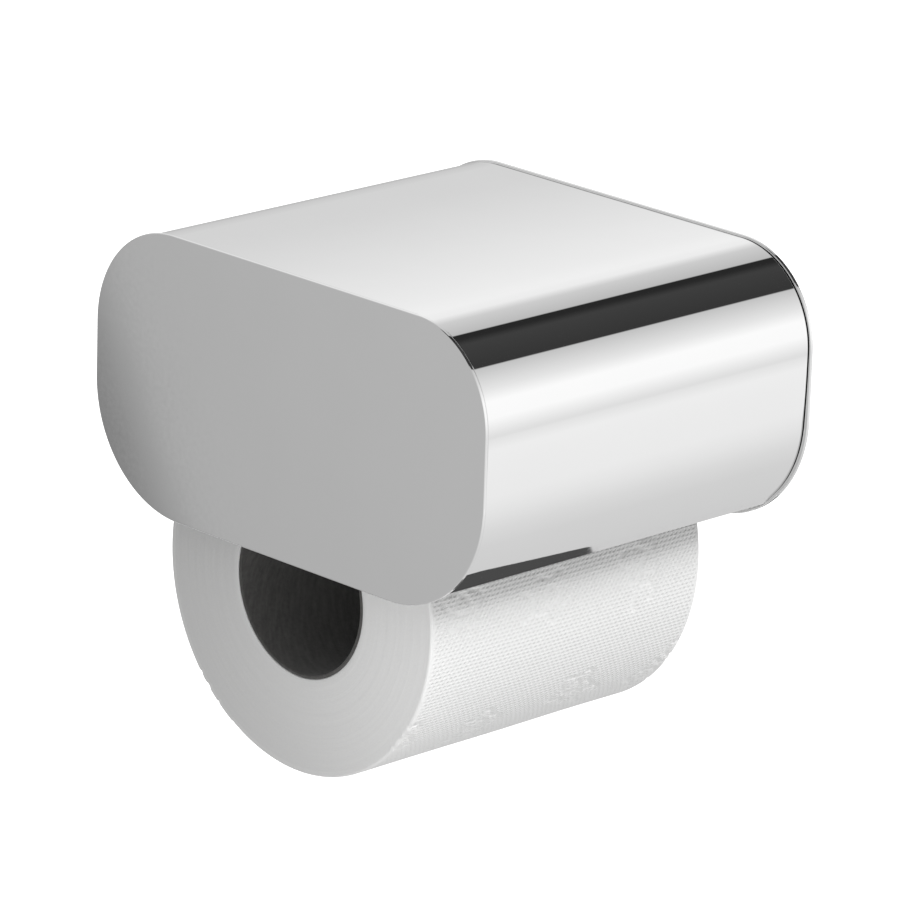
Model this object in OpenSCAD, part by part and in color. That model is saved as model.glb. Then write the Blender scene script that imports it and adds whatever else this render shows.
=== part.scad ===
// Wall-hung toilet paper holder: two fixed end plates on a back bar, a hinged wrap-over lid,
// and a sprung bar that carries the roll. X runs along the roll, -Y is the front, Z is up.
// The origin is on the wall, at mid width and mid height of the end plates.

/* [End plates] */
// Overall width across both end plates
body_w = 123; // [100:1:160]
// Depth from the wall to the front of the end plates
body_d = 151.5; // [122:0.5:190]
// Height of the end plates
body_h = 80; // [66:0.5:110]
// Outline radius at the back top, which is also the lid's hinge centre
back_top_r = 30; // [26:0.5:32]
// Outline radius at the front top
front_top_r = 27; // [20:0.5:32]
// Outline radius at the front bottom
front_bottom_r = 34; // [24:0.5:34]
// Outline radius at the back bottom
back_bottom_r = 34; // [24:0.5:34]
// Thickness of each end plate
plate_t = 1.2; // [1:0.1:2]

/* [Lid] */
// Thickness of the lid's sheet
sheet_t = 1.5; // [1:0.1:2]
// How far the lid's skin lies inside the end plates' outline
lid_inset = 0.5; // [0.3:0.1:1]
// Gap between the lid and each end plate
lid_side_gap = 0.3; // [0.2:0.1:0.8]
// How far the lid's rear edge runs round the back top bend, in degrees
lid_rear_deg = 26; // [15:1:30]
// How far the lid's front edge runs round the front bottom bend, in degrees
lid_lip_deg = 54; // [20:1:60]
// How far the lid opens, in degrees
lid_open_deg = 75; // [50:1:78]

/* [Lid hinge] */
// Radius of the hinge pins
pin_r = 3; // [2.5:0.1:3.6]
// Depth of the blind seats in the plates for pins, posts and studs
seat_depth = 0.6; // [0.4:0.1:0.8]
// Radial clearance between pin and bush
pin_run_gap = 0.05; // [0.02:0.01:0.1]
// Wall of the hinge bush
bush_wall = 1.4; // [1:0.1:2]
// Thickness of the bush's flange
bush_flange_t = 0.8; // [0.5:0.1:1.2]
// Thickness of the lid ears
ear_t = 2; // [1.5:0.1:3]
// Width of the lid ears
ear_w = 14; // [12:0.5:18]
// Length of the ear's flange under the lid
ear_flange_l = 12; // [8:0.5:18]
// Thickness of the ear's flange
ear_flange_t = 1.5; // [1:0.1:2]
// Thickness of the snap ring
clip_t = 0.8; // [0.6:0.1:1.2]
// Depth of the snap ring's groove
clip_groove = 0.6; // [0.4:0.1:0.8]
// Radial width of the snap ring
clip_w = 2.4; // [1.5:0.1:3]

/* [Lid rests] */
// Radius of the rest posts
post_r = 3; // [2:0.1:4]
// Length of the rest posts
post_len = 8; // [6:0.5:10]
// Wall of the rubber sleeves on the posts
sleeve_wall = 2; // [1.5:0.1:3]
// Distance of the posts behind the front
post_back = 33.5; // [29:0.5:40]
// Gap left at a rubber stop
stop_gap = 0.3; // [0.2:0.1:0.5]
// Radius of the rubber bumpers that stop the open lid
bumper_r = 2.5; // [2:0.1:3]
// Radius of the bumpers' stems
bumper_stem_r = 1.2; // [0.8:0.1:1.5]
// Length of the bumpers' stems
bumper_stem_l = 2.4; // [1.5:0.1:2.6]
// Distance of the bumpers from the wall
bumper_y = 8; // [6:0.5:10]

/* [Back guard] */
// Thickness of the guard's sheet
guard_t = 1; // [0.8:0.1:1.5]
// Gap between the guard and the ears' flanges
guard_gap = 0.5; // [0.3:0.1:1]
// How far round the back top bend the guard begins, in degrees
guard_start_deg = 12; // [6:1:14]
// Gap between the guard and each bumper
guard_end_gap = 0.5; // [0.3:0.1:1]
// Depth of the guard's foot on the back bar
guard_foot = 8; // [6:0.5:9]
// Radius of the guard's screws
guard_screw_r = 1.25; // [1:0.05:1.5]
// Length of the guard's screws below the head
guard_screw_l = 6; // [4:0.5:8]
// Distance of the guard's screws from the bracket's pocket
guard_screw_in = 4.5; // [3:0.5:5]

/* [Back bar and wall bracket] */
// Depth of the back bar
back_d = 14; // [12:0.5:18]
// Height of the back bar
back_h = 22; // [20:0.5:26]
// Drop of the back bar's top below the hinge centre
back_drop = 8; // [6:0.5:12]
// Height of the back bar's flat strip on the wall, above its rounded lower corner
back_flat_h = 8; // [6:0.5:10]
// Wall of the back bar's ends and pockets
back_wall = 3; // [2.5:0.1:4]
// Length of the open pocket at each end of the back bar
nut_pocket_l = 12; // [8:0.5:16]
// Width of the wall bracket
bracket_w = 68; // [60:1:76]
// Height of the wall bracket
bracket_h = 14; // [12:0.5:16]
// Thickness of the wall bracket
bracket_t = 8; // [7:0.5:10]
// Clearance round the wall bracket
bracket_gap = 0.3; // [0.1:0.1:0.5]
// Distance between the wall screws
wall_pitch = 50; // [40:1:54]
// Radius of the wall screw holes
wall_hole_r = 2.5; // [2:0.1:3]
// Radius of the recess for a wall screw's head
wall_head_r = 4.5; // [4:0.1:5]
// Depth of the recess for a wall screw's head
wall_head_d = 3.5; // [2.5:0.1:4]
// Radius of the grub screws
grub_r = 2; // [1.5:0.1:2.5]
// Distance between the grub screws
grub_pitch = 28; // [20:1:34]
// Radius of the grub screws' dog points
grub_tip_r = 1.2; // [0.8:0.1:1.4]
// Length of the dog points
grub_tip_l = 1.2; // [0.8:0.1:1.6]
// Radius of the studs that hold the end plates
stud_r = 1.5; // [1.2:0.1:2]
// Distance between the two studs of a plate
stud_pitch = 8; // [7.5:0.1:9]
// Distance of the studs from the wall
stud_y = 8.75; // [7:0.05:10]
// Width across flats of the stud nuts
nut_af = 5.5; // [5:0.1:6]
// Height of the stud nuts
nut_h = 2.4; // [2:0.1:3]

/* [Roll bar] */
// Radius of the roll bar
bar_r = 5; // [4.5:0.1:6]
// Wall of the roll bar's tube
bar_wall = 0.8; // [0.6:0.1:1]
// Height of the bar's centre above the bottom of the end plates
bar_up = 6.7; // [6.2:0.1:12]
// How far behind mid depth the bar lies
bar_back_shift = 4.25; // [0:0.25:8]
// Radius of the bar's end tips
tip_r = 2.8; // [2.4:0.1:3]
// Radial clearance of a tip in its socket
tip_gap = 0.1; // [0.05:0.01:0.2]
// How far a tip reaches into its socket
tip_in = 3.5; // [2.5:0.1:4]
// Length of the sockets on the end plates
socket_len = 5; // [4.5:0.1:7]
// Wall of the sockets
socket_wall = 2.8; // [2:0.1:3]
// Floor left behind a tip in its socket
socket_floor = 1; // [0.8:0.1:1.5]
// Length of each tip
tip_len = 6; // [5:0.1:8]
// Length of the collars at the ends of the bar
collar_l = 2; // [1.5:0.1:3]
// Length of the plugs inside the tube
plug_l = 6; // [4:0.5:8]
// Travel of the sprung tip
plunger_travel = 5; // [4:0.1:6]
// Length of the plunger's head inside the tube
plunger_head_l = 6; // [4:0.5:8]
// Running clearance of the plunger
plunger_gap = 0.05; // [0.02:0.01:0.1]
// Radius of the plunger's neck
neck_r = 3.2; // [3.1:0.05:3.5]
// Radius of the spring's wire
wire_r = 0.45; // [0.3:0.05:0.5]
// Number of turns of the spring
spring_turns = 10; // [7:1:12]
// Length of the spring at rest
spring_l = 22; // [18:0.5:30]

/* [Paper roll] */
// Inner radius of the cardboard core
core_r = 23.5; // [18:0.5:26]
// Wall of the cardboard core
core_wall = 1; // [0.6:0.1:1.5]
// Gap between the bar's top and the core
hang_gap = 0.2; // [0.1:0.05:0.4]
// Gap between the roll and each socket
roll_side_gap = 4.5; // [2:0.5:8]
// Gap between the roll and the back bar
roll_back_gap = 5.75; // [4:0.25:16]

/* [Hidden] */

$fn = 96;
eps = 0.02;                              // press-fit allowance, per side
lap = 1;                                 // how far a cutting tool runs past a face

x_in = body_w / 2 - plate_t;             // inner face of an end plate
hinge_y = -back_top_r;
hinge_z = body_h / 2 - back_top_r;
lid_in = lid_inset + sheet_t;            // the lid's inner skin, inside the outline
lid_x = x_in - lid_side_gap;
lid_under_z = body_h / 2 - lid_in;       // underside of the lid's flat top

// Lid hinge, along X from the plate inwards
ear_x = lid_x - bush_flange_t + lid_side_gap / 2;
ear_in_x = ear_x - ear_t;
bush_r = pin_r + bush_wall;
bush_end_x = ear_in_x - 0.2;
clip_x = bush_end_x - 0.2 - clip_t;
pin_end_x = clip_x - 1.5;

// Lid rests
sleeve_r = post_r + sleeve_wall;
post_y = -body_d + post_back;
post_z = lid_under_z - stop_gap - sleeve_r;
post_end_x = x_in - post_len;
post_head_t = 1;
sleeve_end_gap = 0.3;

// Back bar and wall bracket
back_top = hinge_z - back_drop;
back_bot = back_top - back_h;
back_mid_z = (back_top + back_bot) / 2 + 0.5;
bracket_top = back_mid_z + bracket_h / 2;
bracket_bot = back_mid_z - bracket_h / 2;
grub_y = -bracket_t / 2;
grub_seat_gap = 0.3;
grub_hex_r = 1.15;
grub_hex_d = 2;
stud_mid_z = (back_top + back_bot) / 2;
bumper_x = x_in - back_wall;
bumper_touch_s = (-bumper_y - bumper_r - hinge_y - ear_w / 2 * cos(lid_open_deg)) / sin(lid_open_deg);
bumper_top = hinge_z - ear_w / 2 * sin(lid_open_deg) + bumper_touch_s * cos(lid_open_deg) - stop_gap;

// Back guard, on a circle about the hinge
guard_r = back_top_r - lid_in - ear_flange_t - guard_gap;
guard_in_r = guard_r - guard_t;
guard_x = bumper_x - bumper_r - guard_end_gap;
guard_end_deg = acos(-back_drop / guard_r);
guard_foot_y = hinge_y + guard_r * sin(guard_end_deg);
guard_screw_x = bracket_w / 2 + guard_screw_in;
guard_screw_y = guard_foot_y - guard_foot / 2;
guard_head_r = 2 * guard_screw_r;
guard_head_t = 1.5;

// Roll bar
bar_y = -(body_d / 2 - bar_back_shift);
bar_z = -body_h / 2 + bar_up;
tube_r = bar_r - bar_wall;
socket_r = tip_r + tip_gap + socket_wall;
socket_x = x_in - socket_len;
tip_end_x = socket_x + tip_in;
collar_x = tip_end_x - tip_len - collar_l;          // right end of the tube
plunger_shoulder_x = -(tip_end_x - tip_len + 1.5);  // where the tip meets the neck
ferrule_x = plunger_shoulder_x + plunger_travel + 2;  // outer end of the ferrule
tube_left_x = ferrule_x + collar_l;
head_x = tube_left_x + plug_l + stop_gap;
spring_x = head_x + plunger_head_l;
spring_r = tube_r - wire_r - 0.35;
spring_end_x = spring_x + spring_l;

// Paper roll
core_out_r = core_r + core_wall;
roll_y = bar_y;
roll_z = bar_z + bar_r + hang_gap - core_r;
roll_r = -bar_y - back_d - roll_back_gap;
roll_half = socket_x - roll_side_gap;
core_short = 0.3;

// Corner centres of the end plates' outline: back top, front top, front bottom, back bottom
c_bt = [-back_top_r, body_h / 2 - back_top_r];
c_ft = [-body_d + front_top_r, body_h / 2 - front_top_r];
c_fb = [-body_d + front_bottom_r, -body_h / 2 + front_bottom_r];
c_bb = [-back_bottom_r, -body_h / 2 + back_bottom_r];

// The children are drawn in Y and Z and run along X from x0 to x1
module slab(x0, x1) {
    translate([x0, 0, 0])
        rotate([90, 0, 90])
            linear_extrude(x1 - x0)
                children();
}

// A round bar along X at [y, z], from x0 to x1
module rod(r, x0, x1, y, z) {
    translate([x0, y, z])
        rotate([0, 90, 0])
            cylinder(r = r, h = x1 - x0);
}

// A hexagonal bar along X
module hex_rod(af, x0, x1, y, z) {
    translate([x0, y, z])
        rotate([0, 90, 0])
            cylinder(r = af / sqrt(3), h = x1 - x0, $fn = 6);
}

// The end plates' outline, drawn inwards by i
module outline(i) {
    polygon([
        [c_bt[0], body_h / 2 - i], [c_ft[0], body_h / 2 - i],
        [-body_d + i, c_ft[1]], [-body_d + i, c_fb[1]],
        [c_fb[0], -body_h / 2 + i], [c_bb[0], -body_h / 2 + i],
        [-i, c_bb[1]], [-i, c_bt[1]]
    ]);
    translate(c_bt) circle(r = back_top_r - i);
    translate(c_ft) circle(r = front_top_r - i);
    translate(c_fb) circle(r = front_bottom_r - i);
    translate(c_bb) circle(r = back_bottom_r - i);
}

// The side of the outline that the lid covers, bounded by a ray at each of its edges
module lid_sector() {
    far = body_d + body_h;
    polygon([
        c_bt,
        c_bt + far * [sin(lid_rear_deg), cos(lid_rear_deg)],
        [-body_d / 2, far * 2],
        [-body_d - far, far],
        [-body_d - far, c_fb[1]],
        c_fb + far * [-cos(lid_lip_deg), -sin(lid_lip_deg)],
        c_fb,
        [c_ft[0], c_fb[1]],
        [c_ft[0], c_bt[1]]
    ]);
}

// The left-hand piece, or its mirror image on the right
module on_side(side) {
    if (side > 0) {
        mirror([1, 0, 0])
            children();
    } else {
        children();
    }
}

module wall_bracket() {
    color("darkgray")
        difference() {
            translate([-bracket_w / 2, -bracket_t, bracket_bot])
                cube([bracket_w, bracket_t, bracket_h]);
            for (s = [-1, 1]) {
                translate([s * wall_pitch / 2, lap, back_mid_z])
                    rotate([90, 0, 0])
                        cylinder(r = wall_hole_r, h = bracket_t + 2 * lap);
                translate([s * wall_pitch / 2, -bracket_t + wall_head_d, back_mid_z])
                    rotate([90, 0, 0])
                        cylinder(r = wall_head_r, h = wall_head_d + lap);
                translate([s * grub_pitch / 2, grub_y, bracket_bot - lap])
                    cylinder(r = grub_tip_r + eps, h = grub_tip_l + lap);
            }
        }
}

module bracket_grub_screws() {
    shoulder_z = bracket_bot - bracket_gap;
    color("dimgray")
        for (s = [-1, 1]) {
            translate([s * grub_pitch / 2, grub_y, 0])
                difference() {
                    union() {
                        translate([0, 0, back_bot + grub_seat_gap])
                            cylinder(r = grub_r, h = shoulder_z - back_bot - grub_seat_gap);
                        translate([0, 0, shoulder_z - lap / 2])
                            cylinder(r = grub_tip_r, h = bracket_gap + lap / 2 + grub_tip_l - stop_gap);
                    }
                    translate([0, 0, back_bot + grub_seat_gap - lap])
                        cylinder(r = grub_hex_r, h = grub_hex_d + lap, $fn = 6);
                }
        }
}

// The back bar's section: flat on the wall, then rounded like the end plates' back bottom
module back_bar_section() {
    intersection() {
        translate([-back_bottom_r, back_top - back_flat_h])
            union() {
                circle(r = back_bottom_r);
                square([back_bottom_r, back_flat_h]);
            }
        translate([-back_d, back_bot])
            square([back_d, back_h]);
    }
}

module back_bar() {
    pocket_w = bracket_w + 2 * bracket_gap;
    color("gainsboro")
        difference() {
            slab(-x_in, x_in)
                back_bar_section();
            translate([-pocket_w / 2, -bracket_t - bracket_gap, bracket_bot - bracket_gap])
                cube([pocket_w, bracket_t + bracket_gap + lap, bracket_h + 2 * bracket_gap]);
            for (s = [-1, 1]) {
                translate([s * grub_pitch / 2, grub_y, back_bot - lap])
                    cylinder(r = grub_r + eps, h = back_h / 2);
                translate([
                    s * (x_in - back_wall - nut_pocket_l / 2) - nut_pocket_l / 2,
                    -back_d - lap,
                    back_bot + back_wall
                ])
                    cube([nut_pocket_l, back_d - back_wall + lap, back_h - 2 * back_wall]);
                for (t = [-1, 1])
                    rod(stud_r + eps, s * (x_in - back_wall / 2) - back_wall, s * (x_in - back_wall / 2) + back_wall,
                        -stud_y, stud_mid_z + t * stud_pitch / 2);
                translate([s * bumper_x, -bumper_y, back_top - bumper_stem_l])
                    cylinder(r = bumper_stem_r + eps, h = bumper_stem_l + lap);
                translate([s * guard_screw_x, guard_screw_y, back_top - guard_screw_l])
                    cylinder(r = guard_screw_r + eps, h = guard_screw_l + lap);
            }
        }
}

// The curved sheet behind the lid, with a foot on the back bar
module back_guard() {
    color("lightgray")
        difference() {
            slab(-guard_x, guard_x) {
                intersection() {
                    difference() {
                        translate(c_bt) circle(r = guard_r);
                        translate(c_bt) circle(r = guard_in_r);
                    }
                    translate([hinge_y, 0])
                        polygon([
                            [0, hinge_z],
                            [body_h * sin(guard_start_deg), hinge_z + body_h * cos(guard_start_deg)],
                            [body_h, hinge_z + body_h],
                            [body_h, back_top],
                            [0, back_top]
                        ]);
                }
                translate([guard_foot_y - guard_foot, back_top])
                    square([guard_foot, guard_t]);
            }
            for (s = [-1, 1])
                translate([s * guard_screw_x, guard_screw_y, back_top - lap])
                    cylinder(r = guard_screw_r + 0.1, h = guard_t + 2 * lap);
        }
}

module guard_screws() {
    color("dimgray")
        for (s = [-1, 1])
            translate([s * guard_screw_x, guard_screw_y, back_top])
                difference() {
                    union() {
                        translate([0, 0, guard_t - guard_screw_l])
                            cylinder(r = guard_screw_r, h = guard_screw_l);
                        translate([0, 0, guard_t])
                            cylinder(r = guard_head_r, h = guard_head_t);
                    }
                    translate([0, 0, guard_t + guard_head_t / 2])
                        cylinder(r = guard_screw_r, h = guard_head_t, $fn = 6);
                }
}

// The left end plate with its blind seats
module end_plate(side) {
    floor_x = -x_in - seat_depth;
    color("silver")
        on_side(side)
            difference() {
                slab(-x_in - plate_t, -x_in)
                    outline(0);
                rod(pin_r + eps, floor_x, -x_in + lap, hinge_y, hinge_z);
                rod(post_r + eps, floor_x, -x_in + lap, post_y, post_z);
                for (t = [-1, 1])
                    rod(stud_r + eps, floor_x, -x_in + lap, -stud_y, stud_mid_z + t * stud_pitch / 2);
            }
}

module plate_studs(side) {
    color("lightgray")
        on_side(side)
            for (t = [-1, 1])
                rod(stud_r, -x_in - seat_depth, -x_in + back_wall + nut_h + 1.5,
                    -stud_y, stud_mid_z + t * stud_pitch / 2);
}

module stud_nuts(side) {
    nut_x = -x_in + back_wall;
    color("gold")
        on_side(side)
            for (t = [-1, 1])
                difference() {
                    hex_rod(nut_af, nut_x, nut_x + nut_h, -stud_y, stud_mid_z + t * stud_pitch / 2);
                    rod(stud_r + eps, nut_x - lap, nut_x + nut_h + lap,
                        -stud_y, stud_mid_z + t * stud_pitch / 2);
                }
}

module hinge_pin(side) {
    color("lightgray")
        on_side(side)
            difference() {
                rod(pin_r, -x_in - seat_depth, -pin_end_x, hinge_y, hinge_z);
                difference() {
                    rod(pin_r + lap, -clip_x - clip_t - eps, -clip_x + eps, hinge_y, hinge_z);
                    rod(pin_r - clip_groove, -clip_x - clip_t - lap, -clip_x + lap, hinge_y, hinge_z);
                }
            }
}

module snap_ring(side) {
    inner_r = pin_r - clip_groove + eps;
    color("dimgray")
        on_side(side)
            difference() {
                rod(inner_r + clip_w, -clip_x - clip_t, -clip_x, hinge_y, hinge_z);
                rod(inner_r, -clip_x - clip_t - lap, -clip_x + lap, hinge_y, hinge_z);
                translate([-clip_x - clip_t - lap, hinge_y - inner_r * 0.7, hinge_z - inner_r - clip_w - lap])
                    cube([clip_t + 2 * lap, inner_r * 1.4, inner_r + clip_w + lap]);
            }
}

module rest_post(side) {
    color("lightgray")
        on_side(side)
            union() {
                rod(post_r, -x_in - seat_depth, -post_end_x, post_y, post_z);
                rod(post_r + sleeve_wall / 2, -post_end_x - post_head_t, -post_end_x, post_y, post_z);
            }
}

module rest_sleeve(side) {
    sleeve_x = -x_in + sleeve_end_gap;
    sleeve_end = -post_end_x - post_head_t - eps;
    color("black")
        on_side(side)
            difference() {
                rod(sleeve_r, sleeve_x, sleeve_end, post_y, post_z);
                rod(post_r + eps, sleeve_x - lap, sleeve_end + lap, post_y, post_z);
            }
}

module open_bumper(side) {
    color("black")
        on_side(side)
            translate([-bumper_x, -bumper_y, 0])
                union() {
                    translate([0, 0, back_top])
                        cylinder(r = bumper_r, h = bumper_top - back_top);
                    translate([0, 0, back_top - bumper_stem_l + eps])
                        cylinder(r = bumper_stem_r, h = bumper_stem_l + lap);
                }
}

module bar_socket(side) {
    color("silver")
        on_side(side)
            difference() {
                rod(socket_r, -x_in, -socket_x, bar_y, bar_z);
                rod(tip_r + tip_gap, -x_in + socket_floor, -socket_x + lap, bar_y, bar_z);
            }
}

module lid_cover() {
    color("whitesmoke")
        slab(-lid_x, lid_x)
            intersection() {
                difference() {
                    outline(lid_inset);
                    outline(lid_in);
                }
                lid_sector();
            }
}

module lid_ear(side) {
    color("gainsboro")
        on_side(side)
            difference() {
                union() {
                    slab(-ear_x, -ear_in_x) {
                        translate(c_bt)
                            circle(r = ear_w / 2);
                        translate([hinge_y - ear_w / 2, hinge_z])
                            square([ear_w / 2, lid_under_z - hinge_z]);
                        translate([hinge_y, hinge_z])
                            square([ear_w / 2 - 2 * lid_inset, back_top_r - lid_in - 2]);
                    }
                    translate([-ear_x, hinge_y - ear_w / 2 - ear_w, lid_under_z - ear_flange_t])
                        cube([ear_t + ear_flange_l, ear_w * 3 / 2, ear_flange_t]);
                }
                rod(bush_r + eps, -ear_x - lap, -ear_in_x + lap, hinge_y, hinge_z);
            }
}

module hinge_bush(side) {
    flange_x = -ear_x - bush_flange_t;
    color("ivory")
        on_side(side)
            difference() {
                union() {
                    rod(bush_r, flange_x, -bush_end_x, hinge_y, hinge_z);
                    rod(bush_r + bush_wall, flange_x, -ear_x, hinge_y, hinge_z);
                }
                rod(pin_r + pin_run_gap, flange_x - lap, -bush_end_x + lap, hinge_y, hinge_z);
            }
}

module bar_tube() {
    color("silver")
        difference() {
            rod(bar_r, tube_left_x, collar_x, bar_y, bar_z);
            rod(tube_r, tube_left_x - lap, collar_x + lap, bar_y, bar_z);
        }
}

module bar_end_tip() {
    color("lightgray")
        union() {
            rod(tube_r - eps, collar_x - plug_l, collar_x, bar_y, bar_z);
            rod(bar_r, collar_x, collar_x + collar_l, bar_y, bar_z);
            rod(tip_r, collar_x, tip_end_x, bar_y, bar_z);
        }
}

module bar_ferrule() {
    color("lightgray")
        difference() {
            union() {
                rod(bar_r, ferrule_x, tube_left_x, bar_y, bar_z);
                rod(tube_r - eps, ferrule_x, tube_left_x + plug_l, bar_y, bar_z);
            }
            rod(neck_r + plunger_gap, ferrule_x - lap, tube_left_x + plug_l + lap, bar_y, bar_z);
        }
}

module bar_spring_stop() {
    color("ivory")
        rod(tube_r - eps, spring_end_x, spring_end_x + plug_l, bar_y, bar_z);
}

module bar_plunger() {
    color("ivory")
        union() {
            rod(tip_r, -tip_end_x, head_x, bar_y, bar_z);
            rod(neck_r, plunger_shoulder_x, head_x, bar_y, bar_z);
            rod(tube_r - plunger_gap, head_x, head_x + plunger_head_l, bar_y, bar_z);
        }
}

// The wire's centre at turn t, with flat closed ends
function coil_x(t) =
    let (p = 2 * wire_r + eps, n = spring_turns, free = spring_l - 2 * wire_r - 2 * p)
    t < 1 ? p * t : t > n - 1 ? p + free + p * (t - n + 1) : p + free * (t - 1) / (n - 2);

module plunger_spring() {
    turn_steps = 20;
    ring_sides = 8;
    steps = spring_turns * turn_steps;
    points = [
        for (i = [0 : steps])
            for (j = [0 : ring_sides - 1])
                let (
                    t = i / turn_steps,
                    r = spring_r + wire_r * cos(360 * j / ring_sides),
                    x = coil_x(t) + wire_r + wire_r * sin(360 * j / ring_sides)
                )
                [x, r * cos(360 * t), r * sin(360 * t)]
    ];
    sides = [
        for (i = [0 : steps - 1])
            for (j = [0 : ring_sides - 1])
                let (a = i * ring_sides, b = a + ring_sides, k = (j + 1) % ring_sides)
                [a + j, b + j, b + k, a + k]
    ];
    start = [for (j = [0 : ring_sides - 1]) ring_sides - 1 - j];
    end = [for (j = [0 : ring_sides - 1]) steps * ring_sides + j];
    color("gray")
        translate([spring_x, bar_y, bar_z])
            mirror([0, 0, 1])
                polyhedron(points = points, faces = concat([end], sides, [start]), convexity = 10);
}

module roll_core() {
    core_x = roll_half - core_short;
    color("tan")
        difference() {
            rod(core_out_r, -core_x, core_x, roll_y, roll_z);
            rod(core_r, -core_x - lap, core_x + lap, roll_y, roll_z);
        }
}

module roll_paper() {
    color("white")
        difference() {
            rod(roll_r, -roll_half, roll_half, roll_y, roll_z);
            rod(core_out_r, -roll_half - lap, roll_half + lap, roll_y, roll_z);
        }
}

wall_bracket();
bracket_grub_screws();
back_bar();
back_guard();
guard_screws();
end_plate(-1);  // left_end_plate
end_plate(1);  // right_end_plate
plate_studs(-1);  // left_plate_studs
plate_studs(1);  // right_plate_studs
stud_nuts(-1);  // left_stud_nuts
stud_nuts(1);  // right_stud_nuts
hinge_pin(-1);  // left_hinge_pin
hinge_pin(1);  // right_hinge_pin
snap_ring(-1);  // left_snap_ring
snap_ring(1);  // right_snap_ring
rest_post(-1);  // left_rest_post
rest_post(1);  // right_rest_post
rest_sleeve(-1);  // left_rest_sleeve
rest_sleeve(1);  // right_rest_sleeve
open_bumper(-1);  // left_open_bumper
open_bumper(1);  // right_open_bumper
bar_socket(-1);  // left_bar_socket
bar_socket(1);  // right_bar_socket
lid_cover();
lid_ear(-1);  // left_lid_ear
lid_ear(1);  // right_lid_ear
hinge_bush(-1);  // left_hinge_bush
hinge_bush(1);  // right_hinge_bush
bar_tube();
bar_end_tip();
bar_ferrule();
bar_spring_stop();
bar_plunger();
plunger_spring();
roll_core();
roll_paper();
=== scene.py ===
"""Wall-hung toilet paper holder: the visible model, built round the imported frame.

X runs along the roll, -Y is the front and Z is up. The shape functions work in
millimetres, and a mesh gets metres when it is made.
"""

import logging
import math
from dataclasses import dataclass, field
from enum import Enum

import bmesh
import bpy
import numpy as np
from mathutils import Matrix, Vector
from mathutils.geometry import tessellate_polygon


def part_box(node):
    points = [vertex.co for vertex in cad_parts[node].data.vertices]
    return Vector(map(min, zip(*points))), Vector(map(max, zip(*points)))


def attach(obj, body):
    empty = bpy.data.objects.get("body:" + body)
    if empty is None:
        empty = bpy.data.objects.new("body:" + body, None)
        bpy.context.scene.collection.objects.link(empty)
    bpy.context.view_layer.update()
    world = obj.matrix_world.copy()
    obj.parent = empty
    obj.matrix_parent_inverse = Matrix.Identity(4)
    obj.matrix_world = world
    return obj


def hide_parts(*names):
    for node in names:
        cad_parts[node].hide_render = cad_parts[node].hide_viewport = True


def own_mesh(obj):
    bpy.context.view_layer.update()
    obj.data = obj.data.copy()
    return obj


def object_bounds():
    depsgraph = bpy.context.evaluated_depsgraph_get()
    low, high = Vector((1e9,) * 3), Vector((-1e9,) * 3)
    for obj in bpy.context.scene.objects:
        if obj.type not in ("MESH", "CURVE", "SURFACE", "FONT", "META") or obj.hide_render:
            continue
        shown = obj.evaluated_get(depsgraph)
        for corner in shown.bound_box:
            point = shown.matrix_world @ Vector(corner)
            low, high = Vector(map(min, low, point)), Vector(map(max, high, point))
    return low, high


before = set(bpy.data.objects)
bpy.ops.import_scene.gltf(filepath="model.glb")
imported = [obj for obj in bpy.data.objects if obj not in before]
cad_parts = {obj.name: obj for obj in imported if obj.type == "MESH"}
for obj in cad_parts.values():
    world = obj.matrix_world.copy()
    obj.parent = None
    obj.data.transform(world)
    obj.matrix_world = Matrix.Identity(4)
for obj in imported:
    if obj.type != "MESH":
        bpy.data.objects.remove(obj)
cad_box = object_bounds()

log = logging.getLogger("paper_holder")

MM = 0.001
SIDES = {"left": -1, "right": 1}
NOISE_MIDDLE = (0.3, 0.7)


class Along(Enum):
    """The axis that an outline is carried along, or that a profile is turned about."""

    X = 0
    Y = 1
    Z = 2


class Body(Enum):
    """The bodies of the frame that the pieces ride on."""

    HOLDER = "holder"
    LID = "lid"
    ROLL_BAR = "roll_bar"
    PLUNGER = "plunger"
    ROLL = "roll"


# ---------------------------------------------------------------- shapes


@dataclass
class Surface:
    """A surface on its way to a mesh: points in millimetres and the faces between them."""

    points: np.ndarray
    faces: list[list[int]]

    @classmethod
    def empty(cls) -> "Surface":
        """A surface with nothing in it yet."""
        return cls(np.zeros((0, 3)), [])

    def __add__(self, other: "Surface") -> "Surface":
        """Both surfaces as one."""
        shift = len(self.points)
        moved = [[corner + shift for corner in face] for face in other.faces]
        return Surface(np.concatenate([self.points, other.points]), self.faces + moved)

    def to_side(self, side: int) -> "Surface":
        """The left-hand surface, or its mirror image for side 1."""
        return Surface(self.points * np.array([-side, 1, 1]), self.faces)


def box_mm(node: str) -> tuple[np.ndarray, np.ndarray]:
    """The lowest and highest corners of a node of the frame, in millimetres."""
    low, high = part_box(node)
    return np.array(low) / MM, np.array(high) / MM


def middle_mm(node: str, across: Along = Along.X) -> tuple[float, float]:
    """The middle of a node's box on the two axes across the given one, in millimetres."""
    low, high = box_mm(node)
    middle = [(a + b) / 2 for a, b in zip(low, high)]
    del middle[across.value]
    return middle[0], middle[1]


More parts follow.
